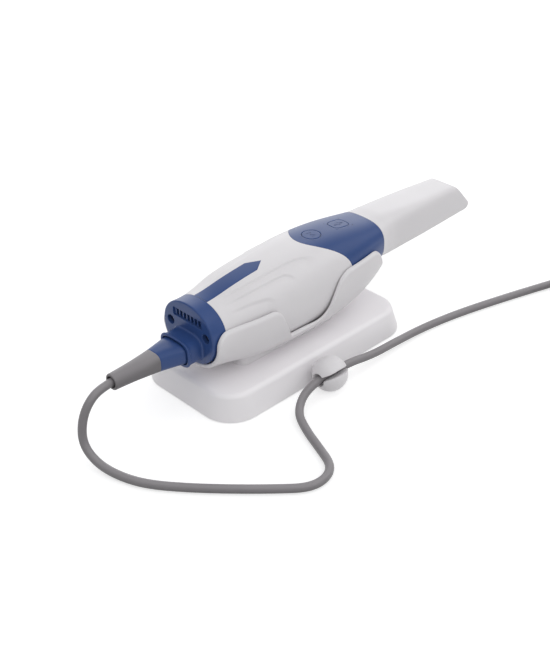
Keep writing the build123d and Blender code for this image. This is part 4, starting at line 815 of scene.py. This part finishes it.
def cradle_rows(x, shrink):
    """Closed sections of the trough: outer face, rim, inner face, rim. Shrink pulls in all its faces."""
    x, shrink = np.broadcast_arrays(np.atleast_1d(x), shrink)
    middle_grow, half = GAP + THICK / 2, THICK / 2 - shrink
    g_out = middle_grow + half
    g_in = middle_grow - half + NOTCH_GAP * smooth((x + 5) / 16) * smooth((27 - x) / 13)
    wall = g_out - g_in
    nip = np.minimum(NIP, wall * 0.85)  # radius of the rim's outer edge; the rest is the inner edge's
    lip = wall - nip
    height = rim_height(x) - shrink - nip
    a_out, a_in = rim_angle(x, height, g_out), rim_angle(x, height + nip - lip, g_in)
    arc = [(math.sin(p), math.cos(p)) for p in np.linspace(0, QUARTER, 6)]
    steps = [(nip * s, g_out - nip * (1 - c)) for s, c in arc[1:]]
    steps += [(nip - lip * (1 - s), g_in + lip * (1 - c)) for s, c in arc[::-1]]
    near_rim, far_rim = [], []
    for lift, grow in steps:
        angle = rim_angle(x, height + lift, grow)
        near_rim.append(surface(HULL, x, angle, grow))
        far_rim.append(surface(HULL, x, math.pi - angle, grow))
    outer = surface(HULL, x[:, None], sweep(math.pi - a_out, FULL_TURN + a_out), g_out[:, None])
    inner = surface(HULL, x[:, None], sweep(FULL_TURN + a_in, math.pi - a_in), g_in[:, None])
    return np.concatenate([outer, np.stack(near_rim, 1), inner[:, 1:-1], np.stack(far_rim[::-1], 1)], 1)


crowd = 9 * (1 - np.cos(np.linspace(0, QUARTER, 22)))[:-1]
xs = np.concatenate([np.linspace(-65.45, 69.45, 220), CRADLE_REAR + crowd, CRADLE_FRONT - crowd])
xs = np.unique(np.round(xs, 4))
xs = xs[(xs > CRADLE_REAR + CRADLE_END) & (xs < CRADLE_FRONT - CRADLE_END)]
end_along, end_down = (np.array(v) for v in zip(*arc_steps(CRADLE_END)))
rear_rows = cradle_rows((CRADLE_REAR - end_along)[::-1], -end_down[::-1])
front_rows = cradle_rows(CRADLE_FRONT + end_along, -end_down)
cradle = skin("cradle_form", np.concatenate([rear_rows, cradle_rows(xs, 0.0), front_rows]))


def close_ends(b):
    bmesh.ops.holes_fill(b, edges=[e for e in b.edges if e.is_boundary], sides=0)
    face_outward(b)


change_mesh(cradle, close_ends)
finish(cradle, ROOT, WHITE, ["cradle"], 50)

# Foot between the cradle and the base: pairs of Z and the distance out from its side
FOOT_STEPS = ((15.7, 1.6), (15.9, 1.2), (16.2, 0.6), (16.7, 0.2), (17.4, 0.0), (22.0, 0.0))
rows = []
for z, d in FOOT_STEPS:
    rows.append(at_z(rounded_rect(37.0 + d, 15.0 + d, 5.0 + d, 10, 6) + np.array((-5.0, 0.0)), z))
finish(skin("cradle_foot", rows, cap_end=True), ROOT, WHITE)

# Base: drafted sides, a soft upper edge and a small lip at the bottom, as pairs of Z and distance in
BASE_HALF_X, BASE_HALF_Y, BASE_CORNER = 75.0, 39.9, 19.5
BASE_BOTTOM, BASE_TOP, BASE_EDGE = 0.6, 15.8, 3.4
DRAFT = math.radians(16.7)
edge_z = BASE_TOP - BASE_EDGE
edge_in = (edge_z - BASE_BOTTOM) * math.tan(DRAFT) + BASE_EDGE / math.cos(DRAFT)
steps = [(BASE_BOTTOM, 6.0), (BASE_BOTTOM, 1.2), (0.62, 0.8), (0.72, 0.45), (0.95, 0.22), (1.3, 0.2)]
steps += [(z, (z - BASE_BOTTOM) * math.tan(DRAFT)) for z in np.linspace(1.7, 13.0, 12)]
for p in np.linspace(DRAFT, QUARTER, 12):
    steps.append((edge_z + BASE_EDGE * math.sin(p), edge_in - BASE_EDGE * math.cos(p)))
steps += [(BASE_TOP, 14.0), (BASE_TOP, 24.0)]
rows = []
for z, d in steps:
    rows.append(at_z(rounded_rect(BASE_HALF_X - d, BASE_HALF_Y - d, max(BASE_CORNER - d, 0.6), 26, 24), z))
finish(solid("base_shell_form", rows), ROOT, BASE_WHITE_PAINTED_LIGHT, ["base_shell"], 40)

# Cable clip: ball with a bore, a slit and a short neck into the side of the base
CLIP = np.array((-7.0, -49.7, 10.5))
CLIP_R = 10.3
SLIT_TILT = math.radians(30)
BORE_STEPS = (
    ((-14.0, 6.5), (-10.3, 4.6), (-9.2, 3.9), (-7.8, 3.1), (-6.3, 2.65), (0.0, 2.6))
    + ((6.3, 2.65), (7.8, 3.1), (9.2, 3.9), (10.3, 4.6), (14.0, 6.5))
)
SLIT_STEPS = ((12.5, 2.9), (10.4, 1.9), (9.3, 1.4), (8.0, 1.25), (0.0, 1.2))  # reach and half height
NECK_STEPS = ((-42.0, 3.0), (-38.6, 3.0), (-37.0, 3.1))
rows = []
for p in np.linspace(0.02, math.pi - 0.02, 60):
    rows.append(at_z(circle(*CLIP[:2], CLIP_R * math.sin(p), 120), CLIP[2] + CLIP_R * math.cos(p)))
clip = solid("cable_clip_form", rows)
bore = solid("cutter", [at_x(CLIP[0] + x, circle(*CLIP[1:], r, 64)) for x, r in BORE_STEPS])
slit_out = np.array((-math.cos(SLIT_TILT), math.sin(SLIT_TILT)))
slit_across = np.array((math.sin(SLIT_TILT), math.cos(SLIT_TILT)))
rear, front = CLIP[0] - 15, CLIP[0] + 15
rows = []
for reach, h in SLIT_STEPS:
    low, high = (CLIP[1:] + slit_out * reach + slit_across * side * h for side in (-1, 1))
    rows.append([(rear, *low), (front, *low), (front, *high), (rear, *high)])
cut(clip, [bore, solid("cutter", rows)])
finish(clip, ROOT, WHITE, ["cable_clip"], 35)
rows = []
for y, r in NECK_STEPS:
    x, z = circle(CLIP[0], CLIP[2] - 2, r, 64).T
    rows.append(np.column_stack([x, np.full(64, y), z]))
finish(solid("clip_neck", rows), ROOT, WHITE)

# Cord: the route that is seen, the put-away coil and the tail to the plug
ROUTE = [
    (-118.4, 0.0, 37.2), (-128.0, -0.2, 37.0), (-136.4, -1.0, 32.4), (-141.8, -1.6, 23.8),
    (-144.0, -3.2, 12.0), (-143.4, -12.6, 4.6), (-140.6, -26.5, 2.4), (-134.6, -42.5, 2.4),
    (-121.6, -59.5, 2.4), (-105.0, -77.6, 2.4), (-90.0, -92.4, 2.4), (-78.5, -102.8, 2.4),
    (-67.6, -104.6, 2.4), (-57.6, -99.4, 2.4), (-52.0, -85.6, 2.4), (-46.0, -69.5, 2.4),
    (-39.2, -55.6, 4.0), (-25.5, -49.8, 10.4), (6.0, -49.6, 10.6), (28.0, -50.2, 6.4),
    (50.0, -48.6, 4.0), (77.0, -48.9, 2.4), (105.0, -54.0, 2.4), (140.0, -63.6, 2.4),
    (171.0, -73.2, 2.4),
]
TAIL = [(177.0, -153.2, 5.6), (165.0, -154.2, 4.4), (153.0, -154.0, 4.0)]
COIL_X, COIL_Y, COIL_START = 189.2, -116.7, 72.2
COIL_WIDE, COIL_NARROW = 35.7, 17.9
TURNS, LAYER_TURNS = 7 + 162.2 / 360, 3.7  # it winds inward, then outward in a second layer
CORD_R = 2.4
coil = []
coil_steps = int(TURNS * 14)
for k in range(coil_steps + 1):
    turn = TURNS * k / coil_steps
    angle = math.radians(COIL_START - 360 * turn)
    radius = np.interp(turn, (0.0, LAYER_TURNS, TURNS), (COIL_WIDE, COIL_NARROW, COIL_WIDE))
    z = CORD_R + 2 * CORD_R * float(smooth((turn - LAYER_TURNS + 0.25) / 0.5))
    coil.append((COIL_X + radius * math.cos(angle), COIL_Y + radius * math.sin(angle), z))
cord_points = ROUTE + coil + TAIL
cord_curve = bpy.data.curves.new("cord_line", "CURVE")
cord_curve.dimensions = "3D"
cord_curve.bevel_depth = CORD_R * MM
cord_curve.bevel_resolution = 6
cord_curve.resolution_u = 10
cord_curve.use_fill_caps = True
line = cord_curve.splines.new("NURBS")
line.points.add(len(cord_points) - 1)
for point, p in zip(line.points, cord_points):
    point.co = (p[0] * MM, p[1] * MM, p[2] * MM, 1)
line.order_u = 3
line.use_endpoint_u = True
cord = bpy.data.objects.new("cord_line", cord_curve)
bpy.context.collection.objects.link(cord)
cord_curve.materials.append(CABLE)
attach(cord, ROOT)
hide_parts("cord", "cord_coil", "cord_tail")

# Floor; lengths are in metres from here on
FLOOR = 6.0
floor_mesh = bpy.data.meshes.new("floor")
floor_corners = [(-FLOOR, -FLOOR, 0), (FLOOR, -FLOOR, 0), (FLOOR, FLOOR, 0), (-FLOOR, FLOOR, 0)]
floor_mesh.from_pydata(floor_corners, [], [(0, 1, 2, 3)])
floor = bpy.data.objects.new("floor", floor_mesh)
bpy.context.collection.objects.link(floor)
SEEN_GLOW, BOUNCE_GLOW = 0.6, 0.05


def floor_build(nodes, links, shader):
    """A matt floor whose glow is white to the camera and in reflections, and faint to other rays."""
    shader.inputs["Base Color"].default_value = (0.6, 0.6, 0.6, 1)
    shader.inputs["Roughness"].default_value = 0.9
    shader.inputs["Specular IOR Level"].default_value = 0.0
    mix = nodes.new("ShaderNodeMixShader")
    for socket, strength in ((1, BOUNCE_GLOW), (2, SEEN_GLOW)):
        glow = nodes.new("ShaderNodeEmission")
        glow.inputs["Color"].default_value = (1, 1, 1, 1)
        glow.inputs["Strength"].default_value = strength
        add = nodes.new("ShaderNodeAddShader")
        links.new(shader.outputs["BSDF"], add.inputs[0])
        links.new(glow.outputs["Emission"], add.inputs[1])
        links.new(add.outputs["Shader"], mix.inputs[socket])
    ray = nodes.new("ShaderNodeLightPath")
    seen = nodes.new("ShaderNodeMath")
    seen.operation = "MAXIMUM"
    links.new(ray.outputs["Is Camera Ray"], seen.inputs[0])
    links.new(ray.outputs["Is Glossy Ray"], seen.inputs[1])
    links.new(seen.outputs["Value"], mix.inputs["Fac"])
    links.new(mix.outputs["Shader"], nodes["Material Output"].inputs["Surface"])


floor_mesh.materials.append(material("floor_white", floor_build))

# World: white to the camera, and to the object a soft fill that is brighter behind it
world = bpy.data.worlds.new("studio")
world.use_nodes = True
bpy.context.scene.world = world
nodes, links = world.node_tree.nodes, world.node_tree.links
fill = nodes["Background"]
fill.inputs["Color"].default_value = (0.98, 0.985, 1.0, 1)
direction = nodes.new("ShaderNodeTexCoord")
behind = nodes.new("ShaderNodeVectorMath")
behind.operation = "DOT_PRODUCT"
behind.inputs[1].default_value = (0.684, 0.729, 0.0)
links.new(direction.outputs["Generated"], behind.inputs[0])
strength = map_range(nodes, links, behind.outputs["Value"], (0.68, 0.97), (0.57, 1.7))
strength.interpolation_type = "SMOOTHSTEP"
links.new(strength.outputs["Result"], fill.inputs["Strength"])
white = nodes.new("ShaderNodeBackground")
white.inputs["Color"].default_value = (1, 1, 1, 1)
white.inputs["Strength"].default_value = 1.3
ray = nodes.new("ShaderNodeLightPath")
mix = nodes.new("ShaderNodeMixShader")
links.new(ray.outputs["Is Camera Ray"], mix.inputs["Fac"])
links.new(fill.outputs["Background"], mix.inputs[1])
links.new(white.outputs["Background"], mix.inputs[2])
links.new(mix.outputs["Shader"], nodes["World Output"].inputs["Surface"])

# Lamps: name, place, aim, width, height and watts
LAMPS = (
    ("overhead", (-0.15, -0.42, 1.2), (-0.02, -0.1, 0.03), 1.8, 1.8, 5.1),
    ("front", (0.1, -1.0, 0.6), (0, 0, 0.02), 0.9, 0.6, 1.1),
    ("rear_rim", (0.85, 0.85, 0.7), (0, 0, 0.05), 1.6, 0.9, 1.2),
    ("sheen", (0.9, -0.38, 0.78), (0, 0, 0.05), 0.8, 0.7, 1.4),
)
for name, place, aim, width, height, power in LAMPS:
    lamp_data = bpy.data.lights.new(name, "AREA")
    lamp_data.shape = "RECTANGLE"
    lamp_data.size = width
    lamp_data.size_y = height
    lamp_data.energy = power
    lamp = bpy.data.objects.new(name, lamp_data)
    lamp.location = place
    lamp.rotation_euler = (Vector(aim) - Vector(place)).to_track_quat("-Z", "Y").to_euler()
    bpy.context.collection.objects.link(lamp)

bpy.context.scene.view_settings.view_transform = "Standard"
